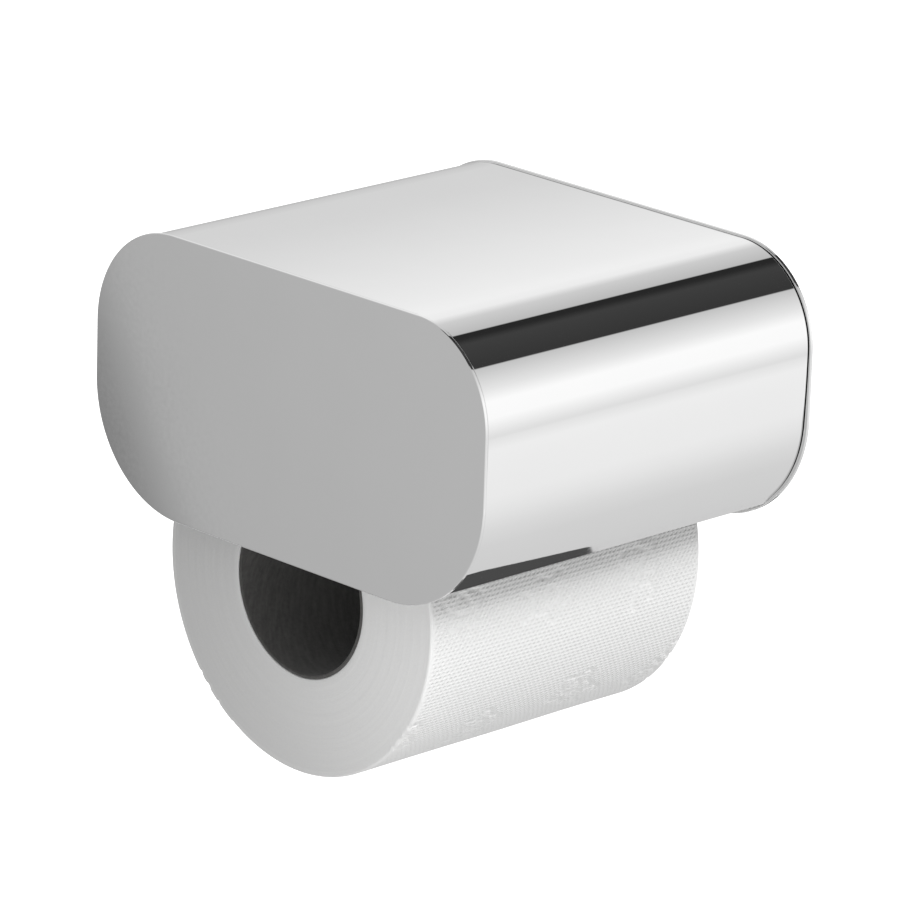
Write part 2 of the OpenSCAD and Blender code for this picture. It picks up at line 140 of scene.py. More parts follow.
def woven(points: np.ndarray, wrap_rows: bool = False, wrap_columns: bool = True) -> Surface:
    """Joins a grid of points into four-sided faces.

    Args:
        points: rows x columns x 3 positions.
        wrap_rows: whether the last row joins the first.
        wrap_columns: whether the last column joins the first.

    Returns:
        The grid as a surface.
    """
    rows, columns = points.shape[:2]
    row = np.arange(rows if wrap_rows else rows - 1)[:, None]
    column = np.arange(columns if wrap_columns else columns - 1)[None, :]
    next_row = (row + 1) % rows
    next_column = (column + 1) % columns
    corners = [
        row * columns + column,
        row * columns + next_column,
        next_row * columns + next_column,
        next_row * columns + column,
    ]
    faces = np.stack(np.broadcast_arrays(*corners), axis=-1).reshape(-1, 4)
    return Surface(points.reshape(-1, 3), faces.tolist())


def eased(corners: list, radius: float, closed: bool = False, steps: int = 5) -> np.ndarray:
    """Rounds the corners of an outline.

    Each corner becomes the parabola that leaves its two edges at the given
    distance from it, or nearly half way along an edge that is too short.

    Args:
        corners: the outline's corners in its own plane.
        radius: how far from the corner the rounding begins.
        closed: whether the last corner joins the first.
        steps: the points on each corner.

    Returns:
        The rounded outline, n x 2.
    """
    corner = np.array(corners, float)

    def leave(towards: np.ndarray) -> np.ndarray:
        """Where the rounding begins, on the edges towards the given corners."""
        run = towards - corner
        length = np.linalg.norm(run, axis=1, keepdims=True) + 1e-9
        return (corner + run * np.minimum(radius / length, 0.45))[:, None, :]

    before, after = leave(np.roll(corner, 1, axis=0)), leave(np.roll(corner, -1, axis=0))
    t = np.linspace(0, 1, steps)[None, :, None]
    curve = (1 - t) ** 2 * before + 2 * t * (1 - t) * corner[:, None, :] + t**2 * after
    if closed:
        return curve.reshape(-1, 2)
    return np.concatenate([corner[:1], curve[1:-1].reshape(-1, 2), corner[-1:]])


def arc(centre: tuple, radius: float, start: float, end: float, steps: int = 32) -> np.ndarray:
    """Points on a circle from one angle to another, in degrees from the first axis."""
    angle = np.radians(np.linspace(start, end, steps))
    return np.array(centre) + radius * np.stack([np.cos(angle), np.sin(angle)], axis=1)


def inward(loop: np.ndarray) -> np.ndarray:
    """How each point of an anticlockwise outline moves as the outline shrinks by one.

    The move lies on the bisector of the two edges' normals, and is longer at a
    corner, so that every edge moves in by the same amount.
    """
    edge = np.roll(loop, -1, axis=0) - loop
    edge /= np.linalg.norm(edge, axis=1, keepdims=True)
    normal = np.stack([-edge[:, 1], edge[:, 0]], axis=1)
    last = np.roll(normal, 1, axis=0)
    return (normal + last) / (1 + np.sum(normal * last, axis=1, keepdims=True))


def wound(loop: np.ndarray, clockwise: bool) -> np.ndarray:
    """The outline, turned round if it doesn't run the way asked for."""
    y, z = loop[:, 0], loop[:, 1]
    area = np.sum(y * np.roll(z, -1) - z * np.roll(y, -1))
    return loop[::-1] if (area > 0) == clockwise else loop


def about(centre: tuple[float, float], radius: np.ndarray, angle: np.ndarray) -> np.ndarray:
    """Points in a plane, from their distances and angles about a centre."""
    return np.stack([centre[0] + radius * np.cos(angle), centre[1] + radius * np.sin(angle)], axis=-1)


def placed(stations: np.ndarray, flat: np.ndarray, along: Along) -> np.ndarray:
    """Points in space from stations on an axis and the two coordinates across it."""
    across = [flat[..., 0], flat[..., 1]]
    across.insert(along.value, np.broadcast_to(stations, flat.shape[:-1]))
    return np.stack(across, axis=-1)


def pressed(
    loops: list[np.ndarray],
    start: float,
    end: float,
    edge: float,
    along: Along = Along.X,
    steps: int = 5,
) -> Surface:
    """Carries flat outlines along an axis into a solid with rounded rims.

    On each rim the outline is drawn in by edge (1 - sin t) at a depth of
    edge (1 - cos t), for t from 0 on the face to 90 degrees on the wall.

    Args:
        loops: the outer outline, then any holes, each n x 2 across the axis.
        start: where the solid begins on the axis.
        end: where it ends.
        edge: the radius of the rims.
        along: the axis.
        steps: the number of rows on a rim.

    Returns:
        The closed surface.
    """
    t = np.linspace(0, np.pi / 2, steps)
    insets = edge * (1 - np.sin(t))
    depths = edge * (1 - np.cos(t))
    insets = np.concatenate([insets, insets[::-1]])[:, None, None]
    stations = np.concatenate([start + depths, end - depths[::-1]])[:, None]
    solid = Surface.empty()
    rims = []
    for number, loop in enumerate(loops):
        turned_loop = wound(loop, clockwise=number > 0)
        rings = turned_loop[None] + insets * inward(turned_loop)[None]
        solid = solid + woven(placed(stations, rings, along))
        rims.append(rings[0])
    flat_rims = [[Vector((*point, 0)) for point in rim] for rim in rims]
    triangles = [list(triangle) for triangle in tessellate_polygon(flat_rims)]
    rim = np.concatenate(rims)
    for station in (start, end):
        solid = solid + Surface(placed(np.array(station), rim, along), triangles)
    return solid


def turned(
    profile: np.ndarray,
    centre: tuple[float, float],
    along: Along = Along.X,
    hexagonal: np.ndarray | None = None,
    steps: int = 72,
) -> Surface:
    """Turns a profile about an axis, as on a lathe.

    A row marked as hexagonal has its radius multiplied by
    cos 30 / cos(angle to the nearest flat), so its flats stay inside the circle.

    Args:
        profile: n x 2, the place on the axis and the radius of each row.
        centre: where the axis crosses the other two coordinates.
        along: the axis.
        hexagonal: for each row, 1 where it is a hexagon and 0 where it is round.
        steps: the number of points round the axis.

    Returns:
        The surface, closed where the profile ends on the axis or meets itself.
    """
    angle = np.linspace(0, 2 * np.pi, steps, endpoint=False)[None, :]
    radius = profile[:, 1][:, None]
    if hexagonal is not None:
        off_flat = np.mod(angle, np.pi / 3) - np.pi / 6
        factor = math.cos(math.pi / 6) / np.cos(off_flat)
        radius = radius * (1 + hexagonal[:, None] * (factor - 1))
    flat = about(centre, radius, angle)
    return woven(placed(profile[:, 0][:, None], flat, along))


def ring_profile(corners: list, radius: float) -> np.ndarray:
    """A closed profile with eased corners, its first point repeated at its end."""
    loop = eased(corners, radius, closed=True)
    return np.concatenate([loop, loop[:1]])


def threaded(
    start: float, end: float, radius: float, pitch: float, centre: tuple, along: Along
) -> Surface:
    """A screw thread with blunt ends.

    The radius is that of the crest less the thread's depth times a triangle
    wave of (place / pitch - angle / one turn), and it falls by the same depth
    over half a pitch at either end.

    Args:
        start: where the thread begins on the axis.
        end: where it ends.
        radius: the crest's radius.
        pitch: the distance between two crests.
        centre: where the axis crosses the other two coordinates.
        along: the axis.

    Returns:
        The closed surface.
    """
    depth, rows_a_turn, flat_share = 0.55 * pitch, 8, 0.9
    rows = int(abs(end - start) / pitch * rows_a_turn)
    place = np.linspace(start, end, rows)[:, None]
    angle = np.linspace(0, 2 * np.pi, 32, endpoint=False)[None, :]
    wave = np.abs(np.mod(place / pitch - angle / (2 * np.pi), 1) * 2 - 1)
    to_end = np.minimum(np.abs(place - start), np.abs(end - place)) / (pitch / 2)
    ridge = radius - depth * np.maximum(wave * flat_share, 1 - np.minimum(to_end, 1))
    flat = about(centre, ridge, angle)
    hub = np.broadcast_to(np.array(centre, float), flat[:1].shape)
    flat = np.concatenate([hub, flat, hub])
    place = np.concatenate([place[:1], place, place[-1:]])
    return woven(placed(place, flat, along))


# ---------------------------------------------------------------- materials


class Graph:
    """A node tree that is filled one node at a time."""

    def __init__(self, tree: bpy.types.NodeTree) -> None:
        """Starts with the tree empty."""
        self.tree = tree
        self.tree.nodes.clear()

    def node(self, kind: str, inputs: dict | None = None, **settings: object) -> bpy.types.Node:
        """Adds a node with its settings and the values of its sockets."""
        made = self.tree.nodes.new(kind)
        for name, value in settings.items():
            setattr(made, name, value)
        for name, value in (inputs or {}).items():
            made.inputs[name].default_value = value
        return made

    def link(
        self, source: bpy.types.Node, out: str | int, target: bpy.types.Node, into: str | int
    ) -> None:
        """Joins one node's output to another's input."""
        self.tree.links.new(source.outputs[out], target.inputs[into])

    def place(
        self, scale: tuple = (1, 1, 1), move: tuple = (0, 0, 0), source: str = "Object"
    ) -> bpy.types.Node:
        """Coordinates on the piece, moved and scaled."""
        where = self.node("ShaderNodeTexCoord")
        mapping = self.node("ShaderNodeMapping", {"Location": move, "Scale": scale})
        self.link(where, source, mapping, "Vector")
        return mapping

    def noise(self, scale: float, detail: float = 2.0, stretch: tuple = (1, 1, 1)) -> bpy.types.Node:
        """Noise with features of about 1/scale metres, stretched along the axes."""
        made = self.node("ShaderNodeTexNoise", {"Scale": scale, "Detail": detail})
        self.link(self.place(stretch), "Vector", made, "Vector")
        return made

    def spread(
        self, source: bpy.types.Node, out: str | int, span: tuple[float, float], to: tuple[float, float]
    ) -> bpy.types.Node:
        """A number spread evenly from one span of values to another."""
        values = {"From Min": span[0], "From Max": span[1], "To Min": to[0], "To Max": to[1]}
        made = self.node("ShaderNodeMapRange", values)
        self.link(source, out, made, "Value")
        return made

    def between(self, source: bpy.types.Node, out: str, low: float, high: float) -> bpy.types.Node:
        """The middle of a noise, spread from one value to another."""
        return self.spread(source, out, NOISE_MIDDLE, (low, high))

    def math(self, operation: str, first: object, second: object = 0.0) -> bpy.types.Node:
        """Arithmetic on two nodes' first outputs, or on a node and a number."""
        made = self.node("ShaderNodeMath", operation=operation)
        for slot, value in enumerate((first, second)):
            if isinstance(value, bpy.types.Node):
                self.link(value, 0, made, slot)
            else:
                made.inputs[slot].default_value = value
        return made

    def plain(self, source: bpy.types.Node, out: str | int) -> bpy.types.Node:
        """One of a node's outputs, as a node with a single output."""
        made = self.node("ShaderNodeMath", {1: 0.0}, operation="ADD")
        self.link(source, out, made, 0)
        return made

    def blend(
        self, share: bpy.types.Node, first: bpy.types.Node, second: bpy.types.Node
    ) -> bpy.types.Node:
        """The first colour, or the second where the share is 1."""
        made = self.node("ShaderNodeMixRGB")
        for slot, source in enumerate((share, first, second)):
            self.link(source, 0, made, slot)
        return made

    def ramp(
        self, source: bpy.types.Node, out: str | int, stops: list[tuple[float, tuple]]
    ) -> bpy.types.Node:
        """Colours a number by stops, each a place from 0 to 1 and a colour."""
        made = self.node("ShaderNodeValToRGB")
        elements = made.color_ramp.elements
        for number, (place, colour) in enumerate(stops):
            stop = elements[number] if number < 2 else elements.new(1.0)
            stop.position = place
            stop.color = (*colour, 1)
        self.link(source, out, made, "Fac")
        return made


class Dressing(Graph):
    """A material's node tree, with its shader and output in place."""

    def __init__(self, name: str) -> None:
        """Starts the material with the name, reusing the frame's own if it is there."""
        self.material = bpy.data.materials.get(name) or bpy.data.materials.new(name)
        self.material.use_nodes = True
        super().__init__(self.material.node_tree)
        self.shader = self.node("ShaderNodeBsdfPrincipled")
        output = self.node("ShaderNodeOutputMaterial")
        self.link(self.shader, "BSDF", output, "Surface")

    def constants(self, **values: object) -> None:
        """Sets the shader's own sockets, with underscores for spaces."""
        for name, value in values.items():
            self.shader.inputs[name.replace("_", " ")].default_value = value

    def tint(self, source: bpy.types.Node, out: str | int, low: tuple, high: tuple) -> None:
        """Colours the shader between two tones by the middle of a noise."""
        tones = self.ramp(source, out, list(zip(NOISE_MIDDLE, (low, high))))
        self.link(tones, "Color", self.shader, "Base Color")

    def relief(
        self,
        height: bpy.types.Node,
        out: str | int,
        strength: float,
        depth: float,
        under: bpy.types.Node | None = None,
    ) -> bpy.types.Node:
        """Adds fine relief of a depth in metres, over any relief added before."""
        bump = self.node("ShaderNodeBump", {"Strength": strength, "Distance": depth})
        self.link(height, out, bump, "Height")
        if under is not None:
            self.link(under, "Normal", bump, "Normal")
        self.link(bump, "Normal", self.shader, "Normal")
        return bump


@dataclass(frozen=True)
class Metal:
    """Plated, turned or cast metal: a tone, a haze that varies, and fine relief."""

    name: str
    tone: tuple[float, float, float]
    polish: tuple[float, float]
    grain: float
    grain_depth: float
    stretch: tuple[float, float, float] = (1.0, 1.0, 1.0)
    ripple: float = 0.0
    metallic: float = 1.0
    mottle: float = 0.04
    mottle_size: float = 38.0
    haze_size: float = 650.0
    ripple_size: float = 60.0

    def build(self) -> bpy.types.Material:
        """Haze from a slow and a fine noise, tone mottled by a slow one, relief from the grain."""
        g = Dressing(self.name)
        g.constants(Metallic=self.metallic, IOR=1.5)
        cloud = g.noise(self.mottle_size, 4.0)
        low = tuple(c * (1 - self.mottle) for c in self.tone)
        g.tint(cloud, "Fac", low, self.tone)
        haze = g.between(g.noise(self.haze_size, 3.0), "Fac", *self.polish)
        g.link(haze, "Result", g.shader, "Roughness")
        under = None
        if self.ripple:
            under = g.relief(g.noise(self.ripple_size, 1.0), "Fac", 1.0, self.ripple)
        g.relief(g.noise(self.grain, 3.0, self.stretch), "Fac", 0.5, self.grain_depth, under)
        return g.material


@dataclass(frozen=True)
class Moulded:
    """Moulded nylon or rubber: a soft tone with a fine eroded skin."""

    name: str
    tone: tuple[float, float, float]
    dark: tuple[float, float, float]
    polish: tuple[float, float]
    skin: float
    skin_depth: float
    coat: float = 0.0
    tone_size: float = 160.0
    haze_size: float = 420.0
    speck_share: float = 0.6

    def build(self) -> bpy.types.Material:
        """Tone and roughness from slow noises, and a fine grained skin as relief."""
        g = Dressing(self.name)
        g.constants(Metallic=0.0, IOR=1.5, Coat_Weight=self.coat, Coat_Roughness=0.3)
        g.tint(g.noise(self.tone_size, 4.0), "Fac", self.dark, self.tone)
        haze = g.between(g.noise(self.haze_size, 2.0), "Fac", *self.polish)
        g.link(haze, "Result", g.shader, "Roughness")
        under = g.relief(g.noise(self.skin, 4.0), "Fac", 0.6, self.skin_depth)
        speck = g.node("ShaderNodeTexVoronoi", {"Scale": self.skin * self.speck_share})
        g.link(g.place(), "Vector", speck, "Vector")
        g.relief(speck, "Distance", 0.4, self.skin_depth, under)
        return g.material


@dataclass(frozen=True)
class Cardboard:
    """Grey recycled board wound from a strip: fibres along the strip, specks and a soft skin."""

    name: str = "cardboard"
    # Painted shade: both tones are kept far darker than grey board, to stand in for the deep shade
    # inside the core; the fibres and specks are the board's own.
    light: tuple[float, float, float] = (0.12, 0.117, 0.113)
    dark: tuple[float, float, float] = (0.055, 0.054, 0.052)
    fibre_size: float = 420.0
    fibre_stretch: tuple[float, float, float] = (0.35, 1.6, 1.0)
    fibre_share: float = 0.6
    fibre_depth: float = 0.00012
    speck_size: float = 900.0
    speck_share: float = 0.4
    speck_depth: float = 0.00006

    def build(self) -> bpy.types.Material:
        """Fibres are noise stretched along the strip, on the piece's own map; specks are darker."""
        g = Dressing(self.name)
        g.constants(Metallic=0.0, Roughness=0.92, Sheen_Weight=0.15, Sheen_Roughness=0.6)
        fibre = g.node("ShaderNodeTexNoise", {"Scale": self.fibre_size, "Detail": 6.0})
        g.link(g.place(self.fibre_stretch, source="UV"), "Vector", fibre, "Vector")
        speck = g.noise(self.speck_size, 5.0)
        fibres = g.math("MULTIPLY", fibre, self.fibre_share)
        specks = g.math("MULTIPLY", speck, self.speck_share)
        g.tint(g.math("ADD", fibres, specks), 0, self.dark, self.light)
        under = g.relief(fibre, "Fac", 0.8, self.fibre_depth)
        g.relief(speck, "Fac", 0.5, self.speck_depth, under)
        return g.material


@dataclass(frozen=True)
class Tissue:
    """Soft white paper with rows of fine embossed dimples, flat along the pressed flourishes, with
    painted shade in the dimples and along the pressed lines.
    """

    name: str = "tissue"
    light: tuple[float, float, float] = (0.91, 0.91, 0.905)
    dark: tuple[float, float, float] = (0.875, 0.875, 0.87)
    pitch: tuple[float, float] = (1.2, 1.7)
    stagger: float = 0.5
    depth: float = 0.00042
    # Painted shade: this and the next say how much darker the dimples' floors and the pressed lines are
    # coloured.
    dimple_painted_shade: float = 0.22
    pressed_line_painted_shade: float = 0.2
    cloud_size: float = 200.0
    fibre_size: float = 1100.0
    fibre_depth: float = 0.00003

    def build(self) -> bpy.types.Material:
        """A dimple is the product of two raised cosines on the piece's own map, in millimetres.

        The dimples fade where the attribute "flourish" marks a pressed line.
        Their floors and the pressed lines are painted a little darker, as painted
        shade in the hollows and along the lines. Fibres are a fine noise under them.
        """
        g = Dressing(self.name)
        g.constants(Metallic=0.0, Roughness=0.95, Specular_IOR_Level=0.2)
        g.constants(Sheen_Weight=0.2, Sheen_Roughness=0.7)
        split = g.node("ShaderNodeSeparateXYZ")
        turns = tuple(2 * math.pi / pitch for pitch in self.pitch)
        g.link(g.place((*turns, 1.0), source="UV"), "Vector", split, "Vector")
        shift = g.math("MULTIPLY", g.plain(split, "X"), self.stagger)
        stagger = g.math("ADD", g.plain(split, "Y"), shift)
        dimple = g.math("MULTIPLY", self.raised(g, g.plain(split, "X")), self.raised(g, stagger))
        line = g.node("ShaderNodeAttribute", attribute_name="flourish")
        left = g.math("SUBTRACT", 1.0)
        g.link(line, "Fac", left, 1)
        faded = g.math("MULTIPLY", dimple, left)
        cloud = g.between(g.noise(self.cloud_size, 4.0), "Fac", 0.75, 1.0)
        # Painted shade: the colour is darkened in the dimples' floors and along the pressed lines.
        pressed_shade = g.math("MULTIPLY", self.pressed_line_painted_shade)
        g.link(line, "Fac", pressed_shade, 1)
        shade = g.math("SUBTRACT", cloud, g.math("MULTIPLY", faded, self.dimple_painted_shade))
        g.tint(g.math("SUBTRACT", shade, pressed_shade), 0, self.dark, self.light)
        fibre = g.noise(self.fibre_size, 4.0)
        under = g.relief(fibre, "Fac", 0.35, self.fibre_depth)
        g.relief(g.math("SUBTRACT", 0.0, faded), 0, 0.7, self.depth, under)
        return g.material

    def raised(self, g: Graph, angle: bpy.types.Node) -> bpy.types.Node:
        """Half of one plus the cosine of an angle."""
        return g.math("MULTIPLY", g.math("ADD", g.math("COSINE", angle), 1.0), 0.5)


@dataclass(frozen=True)
class WoundLayers:
    """The cut ends of the wound paper: fine rings about the roll's axis over a soft felt."""

    centre: tuple[float, float]
    name: str = "tissue_cut_ends"
    light: tuple[float, float, float] = (0.89, 0.89, 0.885)
    dark: tuple[float, float, float] = (0.855, 0.855, 0.85)
    ring_size: float = 2200.0
    slow_size: float = 420.0
    felt_size: float = 1300.0
    shares: tuple[float, float, float] = (0.25, 0.2, 0.55)
    wobble: float = 0.0008
    ring_depth: float = 0.00018
    felt_depth: float = 0.00008

    def build(self) -> bpy.types.Material:
        """Rings are noise on the distance from the axis; the felt is a fine noise."""
        g = Dressing(self.name)
        g.constants(Metallic=0.0, Roughness=0.97, Specular_IOR_Level=0.15)
        g.constants(Sheen_Weight=0.25, Sheen_Roughness=0.8)
        y, z = self.centre
        flat = g.place((0.0, 1.0, 1.0), (0.0, -y * MM, -z * MM))
        length = g.node("ShaderNodeVectorMath", operation="LENGTH")
        g.link(flat, "Vector", length, 0)
        wobble = g.math("MULTIPLY", g.noise(30.0, 2.0), self.wobble)
        reach = g.math("ADD", g.plain(length, "Value"), wobble)
        waves = []
        for size, detail, share in zip((self.ring_size, self.slow_size), (3.0, 2.0), self.shares):
            wave = g.node("ShaderNodeTexNoise", {"Scale": size, "Detail": detail}, noise_dimensions="1D")
            g.link(reach, 0, wave, "W")
            waves.append(g.math("MULTIPLY", wave, share))
        rings = g.math("ADD", *waves)
        felt = g.noise(self.felt_size, 5.0)
        g.tint(g.math("ADD", rings, g.math("MULTIPLY", felt, self.shares[2])), 0, self.dark, self.light)
        under = g.relief(rings, 0, 0.5, self.ring_depth)
        g.relief(felt, "Fac", 0.5, self.felt_depth, under)
        return g.material


@dataclass(frozen=True)
class Finishes:
    """Every finish of the holder, by the name that the frame's slots have."""

    roll_axis: tuple[float, float]

    def build(self) -> dict[str, bpy.types.Material]:
        """Makes the materials.

        Returns:
            The materials by their names.
        """
        chrome, black, ivory = (0.93, 0.93, 0.93), (0.05, 0.05, 0.055), (0.84, 0.81, 0.72)
        turned_marks = (40.0, 1.0, 1.0)
        made = [
            Metal("chrome_plate", chrome, (0.03, 0.05), 900.0, 2e-7, ripple=2e-6, mottle=0.015),
            Metal("chrome_lid", chrome, (0.015, 0.03), 900.0, 1e-7, ripple=1.5e-6, mottle=0.01),
            Metal("chrome_bar", chrome, (0.06, 0.12), 120.0, 2e-6, turned_marks),
            Metal("chrome_socket", chrome, (0.06, 0.12), 120.0, 2e-6, turned_marks),
            Metal("cast_zinc", (0.56, 0.57, 0.59), (0.42, 0.6), 1400.0, 6e-5, mottle=0.18),
            Metal("stainless_pin", (0.62, 0.61, 0.59), (0.18, 0.32), 120.0, 6e-6, turned_marks),
            Metal("spring_steel", (0.42, 0.42, 0.43), (0.25, 0.4), 800.0, 8e-6, mottle=0.12),
            Metal("black_oxide", black, (0.35, 0.5), 1000.0, 1e-5, metallic=0.7, mottle=0.3),
            Metal("brass_nut", (0.80, 0.60, 0.30), (0.22, 0.36), 500.0, 8e-6, mottle=0.1),
            Moulded("black_rubber", (0.03, 0.03, 0.032), (0.018, 0.018, 0.02), (0.6, 0.8), 2200.0, 5e-5),
            Moulded("ivory_nylon", ivory, (0.78, 0.74, 0.64), (0.35, 0.5), 1500.0, 1.5e-5, coat=0.1),
            Cardboard(),
            Tissue(),
            WoundLayers(self.roll_axis),
        ]
        return {finish.name: finish.build() for finish in made}


# ---------------------------------------------------------------- pieces


@dataclass
class Workshop:
    """Makes pieces from surfaces and dresses them."""

    materials: dict[str, bpy.types.Material]
    made: list[str] = field(default_factory=list)

    def mesh(self, name: str, surface: Surface) -> bpy.types.Mesh:
        """A mesh in metres with closed seams and poles, its faces outwards."""
        mesh = bpy.data.meshes.new(name)
        mesh.from_pydata((surface.points * MM).tolist(), [], surface.faces)
        work = bmesh.new()
        work.from_mesh(mesh)
        bmesh.ops.remove_doubles(work, verts=work.verts, dist=1e-6)
        bmesh.ops.dissolve_degenerate(work, dist=1e-7, edges=work.edges)
        bmesh.ops.recalc_face_normals(work, faces=work.faces)
        work.to_mesh(mesh)
        work.free()
        return mesh

    def piece(
        self,
        name: str,
        surface: Surface,
        finish: str,
        body: Body,
        nodes: tuple[str, ...] = (),
        slot: str | None = None,
        tools: tuple[Surface, ...] = (),
        joined: tuple[Surface, ...] = (),
        crease: float = 35.0,
    ) -> bpy.types.Object:
        """Makes one piece of the holder.

        Args:
            name: the piece's name.
            surface: its shape.
            finish: the name of its material.
            body: the body that it rides on.
            nodes: the frame's nodes that it stands for.
            slot: not used.
            tools: closed surfaces that are cut out of it.
            joined: closed surfaces that are joined to it.
            crease: the angle past which an edge stays sharp, in degrees.

        Returns:
            The piece's object.
        """
        piece = bpy.data.objects.new(name, self.mesh(name, surface))
        bpy.context.scene.collection.objects.link(piece)
        if tools or joined:
            self.carve(piece, tools, joined)
        mesh = piece.data
        mesh.shade_smooth()
        mesh.set_sharp_from_angle(angle=math.radians(crease))
        mesh.materials.clear()
        mesh.materials.append(self.materials[finish])
        flat = piece.modifiers.new("flat_faces", "WEIGHTED_NORMAL")
        flat.keep_sharp = True
        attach(piece, body.value)
        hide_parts(*nodes)
        self.made.append(name)
        log.info("%s: %d faces on %s", name, len(mesh.polygons), body.value)
        return piece

    def pairs(
        self, body: Body, *parts: tuple[str, str, Surface, str], joined: tuple[Surface, ...] = ()
    ) -> None:
        """Makes left-hand pieces and then their mirror images.

        Args:
            body: the body that they ride on.
            parts: for each piece its node's name without the side, the ending
                of its own name, its left-hand surface and its finish.
            joined: left-hand surfaces that are joined to each piece.
        """
        for side, sign in SIDES.items():
            for stem, ending, surface, finish in parts:
                node = f"{side}_{stem}"
                more = tuple(other.to_side(sign) for other in joined)
                self.piece(node + ending, surface.to_side(sign), finish, body, (node,), joined=more)

    def carve(self, piece: bpy.types.Object, tools: tuple, joined: tuple) -> None:
        """Joins surfaces to a piece and cuts others out of it, leaving a plain mesh."""
        helpers = []
        for operation, surfaces in (("UNION", joined), ("DIFFERENCE", tools)):
            for surface in surfaces:
                helper = bpy.data.objects.new("helper", self.mesh("helper", surface))
                bpy.context.scene.collection.objects.link(helper)
                step = piece.modifiers.new("step", "BOOLEAN")
                step.operation = operation
                step.solver = "EXACT"
                step.object = helper
                helpers.append(helper)
        graph = bpy.context.evaluated_depsgraph_get()
        mesh = bpy.data.meshes.new_from_object(piece.evaluated_get(graph))
        piece.modifiers.clear()
        mesh.name = piece.name
        piece.data = mesh
        for helper in helpers:
            bpy.data.objects.remove(helper)

    def give_map(self, piece: bpy.types.Object, coordinates: np.ndarray) -> None:
        """Gives a piece its own map, from two coordinates for each corner of its faces."""
        layer = piece.data.uv_layers.new(name="UVMap")
        layer.data.foreach_set("uv", coordinates.astype(np.float32).ravel())


@dataclass(frozen=True)
class Corners:
    """The radii of the side outline, which the lid follows."""

    back_top: float = 30.0
    front_top: float = 27.0
    bottom: float = 34.0


@dataclass
class EndPlates:
    """The two flat side plates with their rounded outline and eased rims."""

    shop: Workshop
    corners: Corners = Corners()
    rim: float = 0.3

    def outline(self) -> np.ndarray:
        """The side outline: four corner arcs joined by straight runs, anticlockwise."""
        low, high = box_mm("left_end_plate")
        front, bottom = low[1], low[2]
        back, top = high[1], high[2]
        ft, bt, r = self.corners.front_top, self.corners.back_top, self.corners.bottom
        return np.concatenate([
            arc((back - bt, top - bt), bt, 0, 90, 40),
            arc((front + ft, top - ft), ft, 90, 180, 40),
            arc((front + r, bottom + r), r, 180, 270, 40),
            arc((back - r, bottom + r), r, 270, 360, 40),
        ])

    def build(self) -> None:
        """Makes both plates."""
        for side in SIDES:
            node = f"{side}_end_plate"
            low, high = box_mm(node)
            plate = pressed([self.outline()], low[0], high[0], self.rim, steps=7)
            self.shop.piece(node + "_shell", plate, "chrome_plate", Body.HOLDER, (node,))


